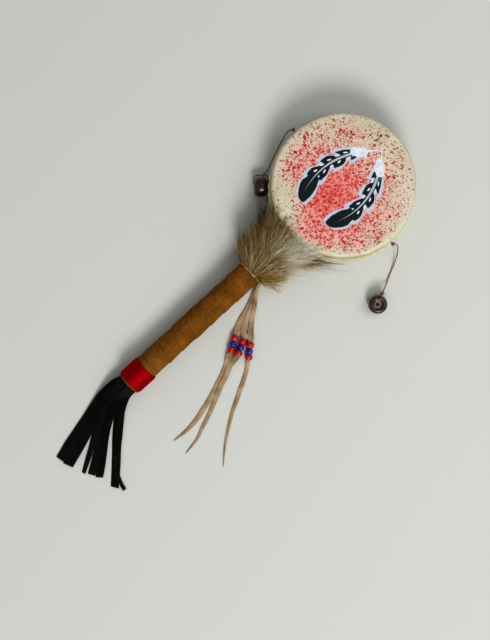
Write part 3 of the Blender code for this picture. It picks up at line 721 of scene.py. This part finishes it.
def addFeather(add, place, own, ground):
    # a plain bowed feather with split barbs, white marks, a quill and white down round its base
    local = add("Mapping TEXTURE", place, (*own["base"], 0), (0, 0, radians(own["heading"])))
    axes = add("SeparateXYZ", local)
    fluff = add("TexNoise", place, 1 / 2.2)
    known = {**feather, "along": axes.outputs["X"], "sideways": axes.outputs["Y"], "bow": own["bow"],
             "barbShift": feather["barbShift"] * own["side"], "fluff": fluff,
             "ragged": add("TexNoise", place, 1 / 1.6),
             "down": add("ValToRGB", [(0.25, feather["rim"]), (0.5, feather["white"])], fluff)}
    for name, term in featherSums.items():
        known[name] = addSum(add, known, term)
    for colour, inside, soft in featherCoats:
        mask = add("MapRange", known[inside], -soft, soft)
        ground = add("Mix RGBA", mask, ground, known[colour])
    return ground


def addDensity(add, flat, drift, fromMiddle):
    # how thick the spray lies: most in the middle, little on the handle's side, none past the rim
    spread = add("Math MULTIPLY_ADD", drift, paint["drift"], fromMiddle)
    thick = add("MapRange", spread, paint["dense"] + paint["drift"] / 2,
                paint["thin"] + paint["drift"] / 2, 1, 0)
    fromBare = add("VectorMath DISTANCE", flat, (*paint["bare"], 0))
    unbare = add("MapRange SMOOTHSTEP", fromBare, paint["bareStart"], paint["bareEnd"])
    radius = add("Math MULTIPLY_ADD", drift, paint["rimWander"], add("VectorMath LENGTH", flat))
    within = add("MapRange SMOOTHSTEP", radius, paint["rim"], paint["rim"] + paint["rimSoft"], 1, 0)
    return add("Math MULTIPLY", add("Math MULTIPLY", thick, unbare), within)


def makePaintedHideMaterial():
    # the same hide under the paint, which takes some of its shine
    material, add, shader, place = newMaterial("painted rawhide", 0.5, Subsurface_Weight=0.05,
                                               Subsurface_Scale=0.002, Specular_IOR_Level=0.35)
    bare = addHideColour(add, place)
    flat = add("VectorMath MULTIPLY", place, (1, 1, 0))
    middle = (*paint["middle"], 0)
    fromMiddle = add("VectorMath DISTANCE", flat, middle)
    drift = add("TexNoise", flat, 0.09, 3)
    density = addDensity(add, flat, drift, fromMiddle)
    # the finest drops run together as a mist
    haze = add("TexNoise", flat, 0.9, 3)
    misty = add("Math ADD", add("Math MULTIPLY_ADD", haze, 0.5, -0.25), density)
    veil = add("MapRange SMOOTHSTEP", misty, paint["mistFrom"], paint["mistTo"], 0.06)
    colour = add("Mix RGBA", veil, bare, add("ValToRGB", paint["mist"], misty))
    for drops in sprays:
        colour = addSpray(add, flat, density, drops, colour)
    # drops flicked outwards from the middle are drawn out along their way
    away = add("SeparateXYZ", add("VectorMath SUBTRACT", flat, middle))
    bearing = add("Math ARCTAN2", away.outputs["Y"], away.outputs["X"])
    polar = add("CombineXYZ", add("Math MULTIPLY", bearing, flicks["rows"]),
                add("Math DIVIDE", fromMiddle, flicks["stretch"]))
    side = add("VectorMath DOT_PRODUCT", flat, (*flicks["towards"], 0))
    upper = add("MapRange SMOOTHSTEP", side, flicks["from"], flicks["to"])
    colour = addSpray(add, polar, add("Math MULTIPLY", density, upper), flicks["drops"], colour)
    for own in feathers:
        colour = addFeather(add, place, own, colour)
    height = add("SeparateXYZ", place).outputs["Z"]
    onTop = add("MapRange", height, drum["height"] - 1.0, drum["height"] - 0.6)
    feed(shader, Base_Color=add("Mix RGBA", onTop, bare, colour),
         Normal=addGrain(add, place, *hide["creases"]))
    return material


def makeHead(name, upper, material, node):
    shape = turnedShape(headProfile(), drum["steps"])
    if upper:
        for vertex in shape.verts:
            vertex.co.z = drum["height"] * mm - vertex.co.z
        bmesh.ops.recalc_face_normals(shape, faces=shape.faces)
    for vertex in shape.verts:
        vertex.co = dryHide(vertex.co)
    piece = asPiece(name, shape, material, node, sharp=50)
    cutRound(piece, onHandle(0), (0, pi / 2 - droop, 0), grip["radius"] + 0.3, 24)
    for turn in map(radians, drum["cordHoles"]):
        wall = round3(turn, drum["wall"], drum["height"] / 2) * mm
        cutRound(piece, wall, (0, pi / 2, turn), drum["cordHoleRadius"], 8, 16)


makeHead("lowerHead", False, makeHideMaterial(), "lower_head")
makeHead("upperHead", True, makePaintedHideMaterial(), "upper_head")
print("drum heads made")

# suede: split cowhide strip, brushed nap, wound from the butt up so each turn laps the last
suede = {
    # the dark colour under each lap and at the wrap's end is painted shade
    "stops": [(0.3, "#5E3A0D"), (0.5, "#80551A"), (0.68, "#94692A")], "worn": "#A67A3C", "lapShade": "#3A220A",
    "sheen": "#D9A860", "patch": 11, "rubbed": 2.2, "nap": (0.45, 5, 0.7, 0.7, 0.16),
    # lumps under the suede: height, length along the handle and how many lie round it
    "lumps": [(0.42, 11, 1.5), (0.10, 2.5, 5)], "drop": 0.04, "rest": 0.2,
}


def wrapPhase(distance, turn):
    # how far, from 0 to 1, a point lies through the turn of suede that it is on
    wander = 0.13 * noise((distance / 17, cos(turn), sin(turn)))
    return ((distance - grip["wrapStart"]) / grip["pitch"] + turn / tau + wander) % 1.0


def wrapRadius(distance, turn):
    # the strip's laps: each turn rises towards its lower edge, then drops on to the next
    def lumpy(length, size):
        return noise((distance / length, size * cos(turn), size * sin(turn)))

    phase = wrapPhase(distance, turn)
    rise = phase**1.6 if phase > suede["drop"] else 1.0 - phase / suede["drop"]
    rise *= grip["lap"] * (0.85 + 0.7 * lumpy(14, 1.4))
    lumps = sum(height * lumpy(length, size) for height, length, size in suede["lumps"])
    fade = limited((distance - grip["wrapStart"]) / 3) * limited((grip["wrapEnd"] - distance) / 0.5)
    return grip["core"] + fade * (suede["rest"] + rise + lumps) + (1 - fade) * 0.05 * lumps


def handleStations():
    # distances from the lip, with the radius where the suede isn't wound
    core, inside, start, end = grip["core"], grip["inside"], grip["wrapStart"], grip["wrapEnd"]
    butt, rim, socket, depth = grip["butt"], grip["buttRadius"], grip["socketRadius"], grip["socketDepth"]
    binding = grip["bindingStart"]
    count = round((end - start) / grip["row"])
    return [
        (-inside, 0.0), (-inside, core * 0.6), (-inside, core - 0.3), (0.3 - inside, core),
        *((d, core) for d in (0.0, 8.0, 16.0, 24.0)),
        *((start + (end - start) * i / count, None) for i in range(count + 1)),
        (end + 0.15, core + 0.02), (end + 0.8, core + 0.12), (binding - 1.1, core + 0.18),
        (binding - 0.3, core), (binding, rim - 0.02), (butt - 1.2, rim - 0.02), (butt - 0.9, rim + 0.25),
        (butt - 0.25, rim + 0.3), (butt, rim), (butt, socket + 0.3), (butt - 0.3, socket),
        (butt - depth, socket), (butt - depth, 0.0),
    ]


def makeSuedeMaterial():
    # a dull brushed surface, lighter where it is rubbed, with a dusty glow at its edges
    material, add, shader, place = newMaterial("split suede", 0.95, Sheen_Weight=0.12, Sheen_Roughness=0.4,
                                               Sheen_Tint=suede["sheen"], Specular_IOR_Level=0.2)
    patch = add("TexNoise", place, 1 / suede["patch"], 5, 0.6)
    rubbed = add("TexNoise", place, 1 / suede["rubbed"], 5, 0.65)
    colour = add("ValToRGB", suede["stops"], add("Mix FLOAT", 0.4, patch, rubbed))
    # the laps' edges are the raw cut of the hide, paler where they stand proud; under each edge lies a
    # painted shade
    relief = add("Attribute lapDepth").outputs["Fac"]
    proud = add("MapRange", relief, 0.93, 1, 0, 0.18)
    uneven = add("MapRange", patch, 0.35, 0.65, 0.15, 0.8)
    lapShade = add("MapRange", relief, 0.07, 0, 0, uneven)
    colour = add("Mix RGBA", lapShade, add("Mix RGBA", proud, colour, suede["worn"]), suede["lapShade"])
    feed(shader, Base_Color=colour, Normal=addGrain(add, place, *suede["nap"]))
    return material


def makeHandle():
    shape = ringed(handleStations(), grip["sides"], lambda row, turn: aroundHandle(
        row[0], turn, wrapRadius(row[0], turn) if row[1] is None else row[1]))
    piece = asPiece("handleWrap", shape, makeSuedeMaterial(), "handle", sharp=70)
    start = onHandle(0)
    along = (onHandle(1) - start).normalized()
    above = (onHandle(0, 0, 1) - start).normalized()
    values = []
    for offset in (vertex.co - start for vertex in piece.data.vertices):
        distance = offset.dot(along) / mm
        wound = grip["wrapStart"] + 1 < distance < grip["wrapEnd"] - 0.3
        # the wrap's end takes the same painted shade as the laps' undersides
        atEnd = abs(distance - grip["wrapEnd"] - 0.15) < 0.5
        phase = wrapPhase(distance, atan2(offset.y, offset.dot(above)))
        values.append(phase if wound else 0.0 if atEnd else 0.5)
    piece.data.attributes.new("lapDepth", "FLOAT", "POINT").data.foreach_set("value", values)


makeHandle()
print("handle made")

# embroidery floss: shiny rayon wound side by side, one tight layer
floss = {
    "thread": 0.42, "proud": 0.25, "steps": 108, "stops": [(0.36, "#AA0620"), (0.58, "#C4082A")],
    "shine": "#C4082A", "streak": (0.5, 9), "fibre": (0.14, 4),  # width and length
    "grain": (1, 2, 0.5, 0.15, 0.03), "taper": 0.35, "taperLong": 1.2,
}


def makeFlossMaterial():
    # smooth bright filaments that shine across their lay as satin does
    material, add, shader, place = newMaterial("rayon floss", 0.5, Metallic=0.8, Anisotropic=0.4,
                                               Specular_IOR_Level=0.2, Specular_Tint=floss["shine"])
    streak, fibre = [add("Mapping POINT", place, Scale=(1 / across, 1 / along, 1 / along))
                     for across, along in (floss["streak"], floss["fibre"])]
    feed(shader, Base_Color=add("ValToRGB", floss["stops"], add("TexNoise", streak, 1, 3)),
         Normal=addGrain(add, fibre, *floss["grain"]))
    return material


def makeBinding():
    start, whole = grip["bindingStart"], grip["bindingEnd"] - grip["bindingStart"]
    turns = round(whole / floss["thread"])
    pitch = whole / turns
    inner = grip["buttRadius"] + 0.3
    bulge = [radians(a) for a in (-80, -40, 0, 40, 80)]
    profile = [(inner, 0.0)]
    for i in range(turns):
        middle = (i + 0.5) * pitch
        taper = floss["taper"] * sum(max(0.0, 1 - gap / floss["taperLong"])
                                     for gap in (middle, whole - middle))
        profile += [(grip["bindingRadius"] - floss["proud"] * (1 - cos(a)) - taper,
                     middle + 0.5 * pitch * sin(a) / sin(bulge[-1])) for a in bulge]
    profile.append((inner, whole))
    shape = turnedShape([(r * mm, -z * mm) for r, z in profile], floss["steps"], closed=True)
    lay = Matrix.Translation(onHandle(start)) @ Matrix.Rotation(pi / 2 - droop, 4, "Y")
    bmesh.ops.transform(shape, matrix=lay, verts=shape.verts)
    asPiece("flossBinding", shape, makeFlossMaterial(), "red_binding", sharp=80)


makeBinding()
print("binding made")

# garment leather dyed black through: soft strips with paler cut edges
leather = {
    "stops": [(0.45, "#070806"), (0.8, "#191915")], "edge": "#26261D", "edgeShown": 0.55, "thick": 1.2,
    "flat": (0.045, 0.09), "cutWander": 0.25, "cup": 0.05, "slant": 0.18,
    "patch": 14, "pebble": 0.8, "spacing": 1.6, "sides": 20, "flutes": 9, "fluteDeep": 0.10,
    "rollRadius": 7.1, "sinkFrom": 150.0, "sink": 0.012,
    # along the handle, share of the roll's radius, and how deep the flutes are
    "roll": [(137.9, 0.0, 0.3), (137.9, 1.0, 0.3), (147.0, 1.0, 0.4), (149.0, 1.0, 0.6), (151.5, 0.97, 0.9),
             (155.0, 0.90, 1.0), (159.0, 0.74, 1.0), (163.0, 0.5, 1.0), (166.5, 0.2, 1.0), (167.5, 0.0, 1.0)],
    # width at the top and at the tip, twist in degrees, and the way that the strip lies
    "strips": [
        (7.2, 6.6, 5, [(-195.0, 3.2, 9.0), (-198.8, 4.0, 9.5), (-206, 6.2, 6.8), (-219, 6.2, 3.0),
                       (-236, 2.2, 1.1), (-254, -2.0, 0.9), (-270.4, -6.4, 0.8)]),
        (7.2, 7.4, -4, [(-195.0, 1.6, 11.2), (-198.8, 2.2, 12.0), (-207, 3.2, 9.8), (-221, 2.2, 4.6),
                        (-238, -3.4, 2.2), (-253, -8.3, 1.8), (-268.9, -13.2, 1.4)]),
        (5.8, 2.8, 6, [(-195.0, 0.0, 10.2), (-198.8, 0.0, 11.0), (-206, 0.0, 8.0), (-220, -1.6, 3.4),
                       (-238, -8.9, 1.4), (-251, -16.6, 0.9), (-264.7, -24.6, 0.8)]),
        (6.4, 5.2, 4, [(-195.0, -0.5, 8.6), (-198.8, -0.5, 9.0), (-206, -1.0, 6.0), (-219, -4.8, 2.2),
                       (-236, -13.0, 0.9), (-249, -21.2, 0.9), (-261.4, -29.2, 0.8)]),
        (7.0, 5.4, -5, [(-195.0, -1.6, 11.2), (-198.8, -2.0, 12.0), (-208, -2.2, 9.4), (-219.9, -5.3, 4.4),
                        (-235.1, -15.0, 2.2), (-246.4, -24.6, 1.8), (-258.5, -34.2, 1.3)]),
        (8.2, 5.6, 3, [(-195.0, -3.0, 9.0), (-198.8, -3.4, 9.5), (-206.0, -4.0, 6.6), (-215.6, -9.0, 2.6),
                       (-223.8, -16.0, 1.1), (-234.3, -25.7, 0.9), (-244.3, -35.9, 0.9),
                       (-255.4, -46.7, 0.8)]),
        (2.4, 2.4, 0, [(-240.8, -30.8, 0.9), (-244.3, -36.3, 0.9), (-247.6, -41.4, 0.9), (-250.4, -47.6, 1.0),
                       (-251.6, -52.6, 1.1)]),
    ],
}


def makeLeatherMaterial():
    # finely pebbled, with a low worn shine on its smooth side
    material, add, shader, place = newMaterial("black garment leather", 0.6, Specular_IOR_Level=0.2)
    patch = add("TexNoise", place, 1 / leather["patch"], 5, 0.65)
    colour = add("ValToRGB", leather["stops"], patch)
    rim = add("Attribute cutEdge").outputs["Fac"]
    pebble = add("TexVoronoi SMOOTH_F1", place, 1 / leather["pebble"])
    feed(shader, Base_Color=add("Mix RGBA", rim, colour, leather["edge"]),
         Normal=add("Bump", Height=pebble, Strength=0.35, Distance=0.12 * mm))
    return material


def stripShape(number, top, tip, curl, points):
    route = smoothRoute(points, leather["spacing"])
    whole = distancesAlong(route)[-1]

    def section(angle, distance):
        c, s = cos(angle), sin(angle)
        share = distance / whole
        half = (top + (tip - top) * max(0.0, share - 0.25) / 0.75) / 2 * mm
        cut = leather["cutWander"] * mm * noise((distance / (12 * mm), number * 3.3, 1.0))
        across = (half + cut) * squared(c, 0.22)
        lift = leather["thick"] / 2 * mm * squared(s, 0.5) + leather["cup"] * half * (across / half) ** 2
        twist = radians(curl) * sin(pi * share) + 0.1 * noise((share * 4, number, 0))
        return across * cos(twist) - lift * sin(twist), across * sin(twist) + lift * cos(twist)

    shape = tubeAlong(route, leather["sides"], section)
    # the tip is cut a little askew
    end = route[-1]
    ahead = (end - route[-3]).normalized()
    side = ahead.cross(Vector((0, 0, 1)))
    slant = leather["slant"] * sin(number * 2.1)
    for vertex in shape.verts:
        if (vertex.co - end).dot(ahead) > -0.3 * mm:
            vertex.co += ahead * slant * (vertex.co - end).dot(side)
    layOnGround(shape)
    rim = shape.verts.layers.float.new("cutEdge")
    for vertex in {v for face in shape.faces if abs(face.normal.z) < 0.5 for v in face.verts}:
        vertex[rim] = leather["edgeShown"]
    return shape


def rollShape():
    # the leather bunched in the socket and just past it, with soft flutes
    steps = 4
    rows = [[a + (b - a) * i / steps for a, b in zip(row, after)]
            for row, after in zip(leather["roll"], leather["roll"][1:]) for i in range(steps)]

    def place(row, turn):
        distance, share, flute = row
        radius = leather["rollRadius"] * share
        wave = sin(leather["flutes"] * turn + 0.8 * sin(2 * turn))
        radius *= 1 - leather["fluteDeep"] * flute * (0.5 + 0.5 * wave)
        point = aroundHandle(distance, turn, radius)
        sink = leather["sink"] * max(0.0, distance - leather["sinkFrom"]) ** 2 * share
        point.z = max(point.z - sink * mm, 0.5 * mm)
        return point

    shape = ringed([*rows, leather["roll"][-1]], 72, place)
    shape.verts.layers.float.new("cutEdge")
    return shape


def makeFringe():
    # one piece of leather, slit from the tip and rolled up into the socket
    strips = [stripShape(i, *facts) for i, facts in enumerate(leather["strips"])]
    fringe = asPiece("leatherFringe", joinShapes(rollShape(), strips), makeLeatherMaterial(),
                     "leather_fringe", sharp=55)


makeFringe()
print("fringe made")

# dressed fur: a strip of pelt round the neck, soft hair laid towards the drum
pelt = {
    "start": 34.5, "end": 3.0, "radius": 9.8, "seed": 7, "rings": 5, "strandSides": 3,
    "skin": [(0.35, "#8A7148"), (0.6, "#B49C70")],
    "tones": [(0.0, "#17150E"), (0.22, "#6D5222"), (0.52, "#B18B40"), (0.76, "#CABFA0"), (0.95, "#F0EBDC")],
    # the colour that the painted shade at the hairs' roots tends to
    "root": "#6D5222",
    # the usual tone, and how much paler or darker it is near some places, with their x, y and size
    "tone": 0.53, "shades": [(-0.04, -54, 11, 7), (-0.05, -77, 12, 7), (0.52, -54, -17, 10),
                             (0.06, -61, 18, 6), (-0.06, -75, -10, 7)],
    # hair on the left of the handle is laid out sideways, on the top it slants left, and on the
    # right it sweeps back along the drum: degrees from the handle's axis, and how sudden the turn is
    "fan": (35, -49, 4),
    # length by the handle and how much less by the drum, shortening at the sides, droop of the tips
    "length": (22.0, 4.0), "short": 0.45, "sag": 0.004,
    # share of locks that run on beside the drum, how near it and how far to the side, how much longer
    "wisps": (0.35, 0.78, 0.6, 1.45),
    # how far a lock's roots spread, in mm along the handle and radians round it
    "spread": (1.5, 0.16),
    # radians that hair stands off the skin, more by the drum, more at its root, and where it bends
    "lift": 0.26, "byDrum": 0.55, "atRoot": 0.55, "bend": 0.42,
    # share of pale locks, how pale, and the spread of tone among all; share and tone of odd hairs
    "oddLocks": (0.2, 0.22, 0.24), "oddHairs": [(0.12, 0.3), (0.16, -0.22)], "wispDark": 0.8,
    # gaps to the head and the wall, the height above which hair comes to lie on the head, how flat
    # it is pressed there, and how much of its way in is left
    "overHead": 0.35, "offWall": 0.7, "lieFrom": 21.0, "pressed": 0.35, "inwards": 0.72,
    # the laces leave the fur below this height, at this y give or take so much, and before this x
    "pocket": (8.5, -9.6, 3.6, -73.5),
    # locks, strands in each, share of the length, radius in mm, how far a lock draws together,
    # wildness and tone
    "coats": {
        "furUndercoat": (520, 14, 0.80, 0.20, 0.30, 0.7, -0.06),
        "furBody": (430, 17, 1.0, 0.15, 0.75, 0.9, -0.03),
        "furGuardHairs": (600, 12, 1.15, 0.10, 0.35, 1.4, 0.09),
        "furStragglers": (260, 3, 1.25, 0.07, 0.2, 2.3, -0.3),
    },
    # distance from the lip and radius of the wool's bulk; its edge by the handle is cut by hand
    "wool": [(24, 10.8), (16, 12.3), (8, 13.8), (2.2, 14.3), (1.2, 12.8), (1.2, 8.8), (12, 8.8), (24, 8.8)],
}


def makeFurMaterial():
    # each strand carries its own tone and how far along it a point is; painted shade darkens the roots, silky
    # on top
    material, add, shader, _ = newMaterial("dressed fur", 0.5, Specular_IOR_Level=0.3)
    tone, far = [add("Attribute " + name).outputs["Fac"] for name in ("tone", "far")]
    rootShade = add("MapRange", far, 0, 0.4, 0.4, 0)
    feed(shader, Base_Color=add("Mix RGBA", rootShade, add("ValToRGB", pelt["tones"], tone), pelt["root"]))
    return material


def toneOf(points, owner, rng):
    # golden by the handle, dark in front of the drum, pale grey on the right, straw locks between
    count = len(points)
    tone = pelt["tone"]
    for shade, x, y, size in pelt["shades"]:
        gap = (points[:, 2, 0] - x) ** 2 + (points[:, 2, 1] - y) ** 2
        tone = tone + shade * np.exp(-gap / (2 * size**2))
    byLock = rng.random((2, owner.max() + 1))
    share, paler, spread = pelt["oddLocks"]
    tone += np.where(byLock[0][owner] < share, paler, 0.0) + spread * (byLock[1][owner] - 0.5)
    for share, change in pelt["oddHairs"]:
        tone += np.where(rng.random(count) < share, change, 0.0)
    x, y, z = points[:, -1].T
    byWall = np.clip((drum["lip"] + 12 - np.hypot(x, y)) / 4, 0, 1)
    wisps = byWall * np.clip((abs(y + 1) - 21) / 5, 0, 1) * (z < drum["height"])
    return tone - pelt["wispDark"] * wisps * (rng.random(count) < 0.8)


def keepOut(points, rng):
    # hair can't enter the drum: high hair comes to lie on the head, low hair turns along the wall
    top, edge = drum["height"] + pelt["overHead"], drum["lip"] + pelt["offWall"]
    height = points[:, :, 2]
    reach = np.hypot(points[:, :, 0], points[:, :, 1])
    inside = reach < edge
    crossing = height[np.arange(len(points)), np.argmax(inside, axis=1)]
    over = (crossing > pelt["lieFrom"])[:, None]
    high, low = inside & over, inside & ~over & (height < top - 0.05)
    lying = top + 0.5 * rng.random(height.shape)
    pressed = np.maximum(pelt["pressed"] * (height - lying) + lying, lying)
    points[:, :, 2] = np.where(high, pressed, height)
    walled = edge + 0.9 * rng.random(height.shape)
    drawn = edge - (edge - reach) * pelt["inwards"]
    wanted = np.where(high, drawn, np.where(low, walled, reach))
    points[:, :, :2] *= (wanted / np.maximum(reach, 1))[:, :, None]
    points[:, :, 2] = np.maximum(points[:, :, 2], 0.25)
    return points


def leaning(first, second, angle):
    return first * np.cos(angle)[:, None] + second * np.sin(angle)[:, None]


def furStrands(seed, locks, perLock, fullness, coarse, gather, wild, shift):
    # for every strand its points, its radius and its tone
    rng = np.random.default_rng(seed)
    count = locks * perLock
    owner = np.repeat(np.arange(locks), perLock)
    start, end = pelt["start"], pelt["end"]
    lockDistance = end + (start - end) * rng.random(locks) ** 0.8
    lockTurn = rng.uniform(-pi, pi, locks)
    own = rng.normal(0, 1, (6, locks))
    wispShare, nearDrum, toSide, longer = pelt["wisps"]
    wispy = rng.random(locks)[owner] < wispShare
    along, around = pelt["spread"]
    distance = np.clip(lockDistance[owner] + rng.normal(0, along, count), end, start)
    turn = lockTurn[owner] + rng.normal(0, around, count)
    # the root, the way out of the skin, and the way that the hair is laid
    near = (start - distance) / (start - end)
    forward = np.array([cos(droop), 0.0, sin(droop)])
    left = np.array([0.0, 1.0, 0.0])
    outward = leaning(np.array([-sin(droop), 0.0, cos(droop)]), left, turn)
    root = np.array(onHandle(0)) / mm - forward * distance[:, None] + outward * (pelt["radius"] - 0.3)
    side = np.sin(turn)
    farLeft, farRight, turned = pelt["fan"]
    fan = np.radians(farLeft + (farRight - farLeft) * ((1 - side) / 2) ** turned) * (1 - 0.45 * near)
    fan *= np.where(np.cos(turn) > -0.3, 1.0, 0.45)
    fan += 0.16 * wild * own[1][owner] + rng.normal(0, 0.11 * wild, count)
    lift = pelt["lift"] + pelt["byDrum"] * near
    lift = lift + 0.13 * wild * own[0][owner] + rng.normal(0, 0.07 * wild, count)
    length = (pelt["length"][0] - pelt["length"][1] * near) * (1 + 0.12 * own[2][owner])
    length *= fullness * rng.uniform(0.7, 1.08, count)
    # short at the sides by the handle, but beside the drum some locks run on as wisps
    length *= 1 - pelt["short"] * side**2 * np.clip((0.8 - near) / 0.4, 0, 1)
    length *= np.where(wispy & (near > nearDrum) & (abs(side) > toSide), longer, 1.0)
    laid = leaning(forward, left, fan)
    tip = root + leaning(laid, outward * np.array([1.0, 0.8, 0.75]), lift) * length[:, None]
    first = leaning(laid, outward, lift + pelt["atRoot"])
    # a lock's hairs draw together towards the tip of its middle hair
    lockTip = np.stack([np.bincount(owner, tip[:, k]) for k in range(3)], 1) / perLock
    tip = tip + gather * (lockTip[owner] - tip) + rng.normal(0, 0.35 * wild, (count, 3))
    sway = np.stack([own[3], own[4], 0.6 * own[5]], 1)[owner] * 1.1 + rng.normal(0, 0.45, (count, 3))
    bend = root + first * (pelt["bend"] * length)[:, None] + sway
    tip[:, 2] -= pelt["sag"] * length**2
    shares = np.linspace(0, 1, pelt["rings"])
    points = np.stack([(1 - t) ** 2 * root + 2 * t * (1 - t) * bend + t * t * tip for t in shares], 1)
    points = keepOut(points, rng)
    # nothing grows through the laces where they leave the fur, or into the left bead
    under, sideways, around, past = pelt["pocket"]
    x, y, z = points.transpose(2, 0, 1)
    pocket = (z < under) & (abs(y - sideways) < around) & (x < past)
    beadPlace = np.array(beadMatrix("left").translation[:2]) / mm
    inBead = np.hypot(*(points[:, :, :2] - beadPlace).transpose(2, 0, 1)) < bead["radius"] + 1
    kept = ~(pocket | inBead).any(1)
    tone = toneOf(points, owner, rng) + shift + rng.normal(0, 0.05, count)
    radius = coarse * rng.uniform(0.7, 1.25, count)
    return points[kept] * mm, radius[kept] * mm, np.clip(tone, 0.0, 1.0)[kept]


def unit(vectors):
    return vectors / np.maximum(np.linalg.norm(vectors, axis=2), 1e-12)[:, :, None]


def strandMesh(name, points, radius, tone):
    # one tapered strand is a cone with rings; every strand is a bent copy of it
    rings = points.shape[1]
    template = bmesh.new()
    bmesh.ops.create_cone(template, cap_ends=True, segments=pelt["strandSides"], radius1=1.0, radius2=0.25,
                          depth=1.0)
    lengthwise = [e for e in template.edges if abs(e.verts[0].co.z - e.verts[1].co.z) > 0.5]
    bmesh.ops.subdivide_edges(template, edges=lengthwise, cuts=rings - 2, use_grid_fill=True)
    bmesh.ops.triangulate(template, faces=template.faces)
    template.verts.ensure_lookup_table()
    base = np.array([v.co[:] for v in template.verts])
    faces = np.array([[v.index for v in f.verts] for f in template.faces])
    template.free()
    far = base[:, 2] + 0.5
    station = np.rint(far * (rings - 1)).astype(int)
    ahead = unit(np.gradient(points, axis=1))
    side = unit(np.cross(ahead, np.array([0.31, 0.42, 0.85])))
    place = points[:, station]
    for way, axis in enumerate((side, np.cross(side, ahead))):
        place = place + axis[:, station] * base[None, :, way:way + 1] * radius[:, None, None]
    count, each = len(points), len(base)
    corners = faces[None] + (np.arange(count) * each)[:, None, None]
    mesh = bpy.data.meshes.new(name)
    mesh.from_pydata(place.reshape(-1, 3).tolist(), [], corners.reshape(-1, 3).tolist())
    for layer, values in (("tone", np.repeat(tone, each)), ("far", np.tile(far, count))):
        mesh.attributes.new(layer, "FLOAT", "POINT").data.foreach_set("value", values)
    return mesh


def makePelt():
    # a band round the neck with the bulk of the wool on it, whose edge by the handle is cut by hand
    inner, outer, start = grip["radius"] - 0.1, pelt["radius"], pelt["start"]
    rows = [(start + 0.4, inner), (start + 0.6, inner + 0.4), (start + 0.4, outer - 0.2), (start - 2, outer),
            *pelt["wool"], (start + 0.4, inner)]

    def place(row, turn):
        distance, radius = row
        if distance > start - 3:
            distance += 0.8 * noise(round3(turn, 2.5))
        point = aroundHandle(distance, turn, radius)
        grow = max(1.0, (drum["lip"] + 0.9) * mm / hypot(point.x, point.y))
        return Vector((point.x * grow, point.y * grow, max(point.z, 0.5 * mm)))

    # the skin side and the cut edge of the pelt are tanned pale
    skin = mottledMaterial("tanned pelt skin", 0.8, pelt["skin"], (3, 4))
    asPiece("peltBand", ringed(rows, 72, place), skin, "fur_collar")


def makeFur():
    makePelt()
    finish = makeFurMaterial()
    for number, (name, facts) in enumerate(pelt["coats"].items()):
        strands = strandMesh(name, *furStrands(pelt["seed"] + number, *facts))
        asPiece(name, strands, finish, sharp=None)


makeFur()
print("fur made")

# a soft window low over the bottom of the picture, a fill from the right and a pale room
studio = {
    "floor": "#D5D7D3", "size": 4.0, "below": 0.02, "middle": (-0.11, -0.02, 0.0), "room": "#F6F7F8",
    "roomStrength": 0.30,
    # place and size in metres, power in watts
    "lamps": {"window": ((-1.275, -1.994, 2.374), 1.15, 48.0, "#FFFEFA"),
              "rightFill": ((0.42, -0.40, 0.95), 0.8, 2.3, "#FDFEFF")},
}


def makeFloor():
    shape = bmesh.new()
    bmesh.ops.create_grid(shape, x_segments=1, y_segments=1, size=studio["size"] / 2)
    floor = addObject("floor", meshOf("floor", shape))
    # matt paper, which shows soft shadows and no shine
    floor.data.materials.append(newMaterial("pale backdrop paper", 0.9, Specular_IOR_Level=0.1,
                                            Base_Color=studio["floor"])[0])
    floor.location.z = -studio["below"] * mm


def makeLight():
    for name, (place, size, power, colour) in studio["lamps"].items():
        data = bpy.data.lights.new(name, "AREA")
        data.shape, data.size, data.size_y = "RECTANGLE", size, size
        data.energy, data.color = power, toLinear(colour)[:3]
        lamp = addObject(name, data)
        lamp.location = place
        aim = Vector(studio["middle"]) - lamp.location
        lamp.rotation_euler = aim.to_track_quat("-Z", "Y").to_euler()
    world = bpy.data.worlds.new("studio")
    world.use_nodes = True
    feed(world.node_tree.nodes["Background"], studio["room"], studio["roomStrength"])
    bpy.context.scene.world = world
    bpy.context.scene.view_settings.view_transform = "Standard"
    bpy.context.scene.view_settings.look = "High Contrast"


makeFloor()
makeLight()
print("floor and light made")
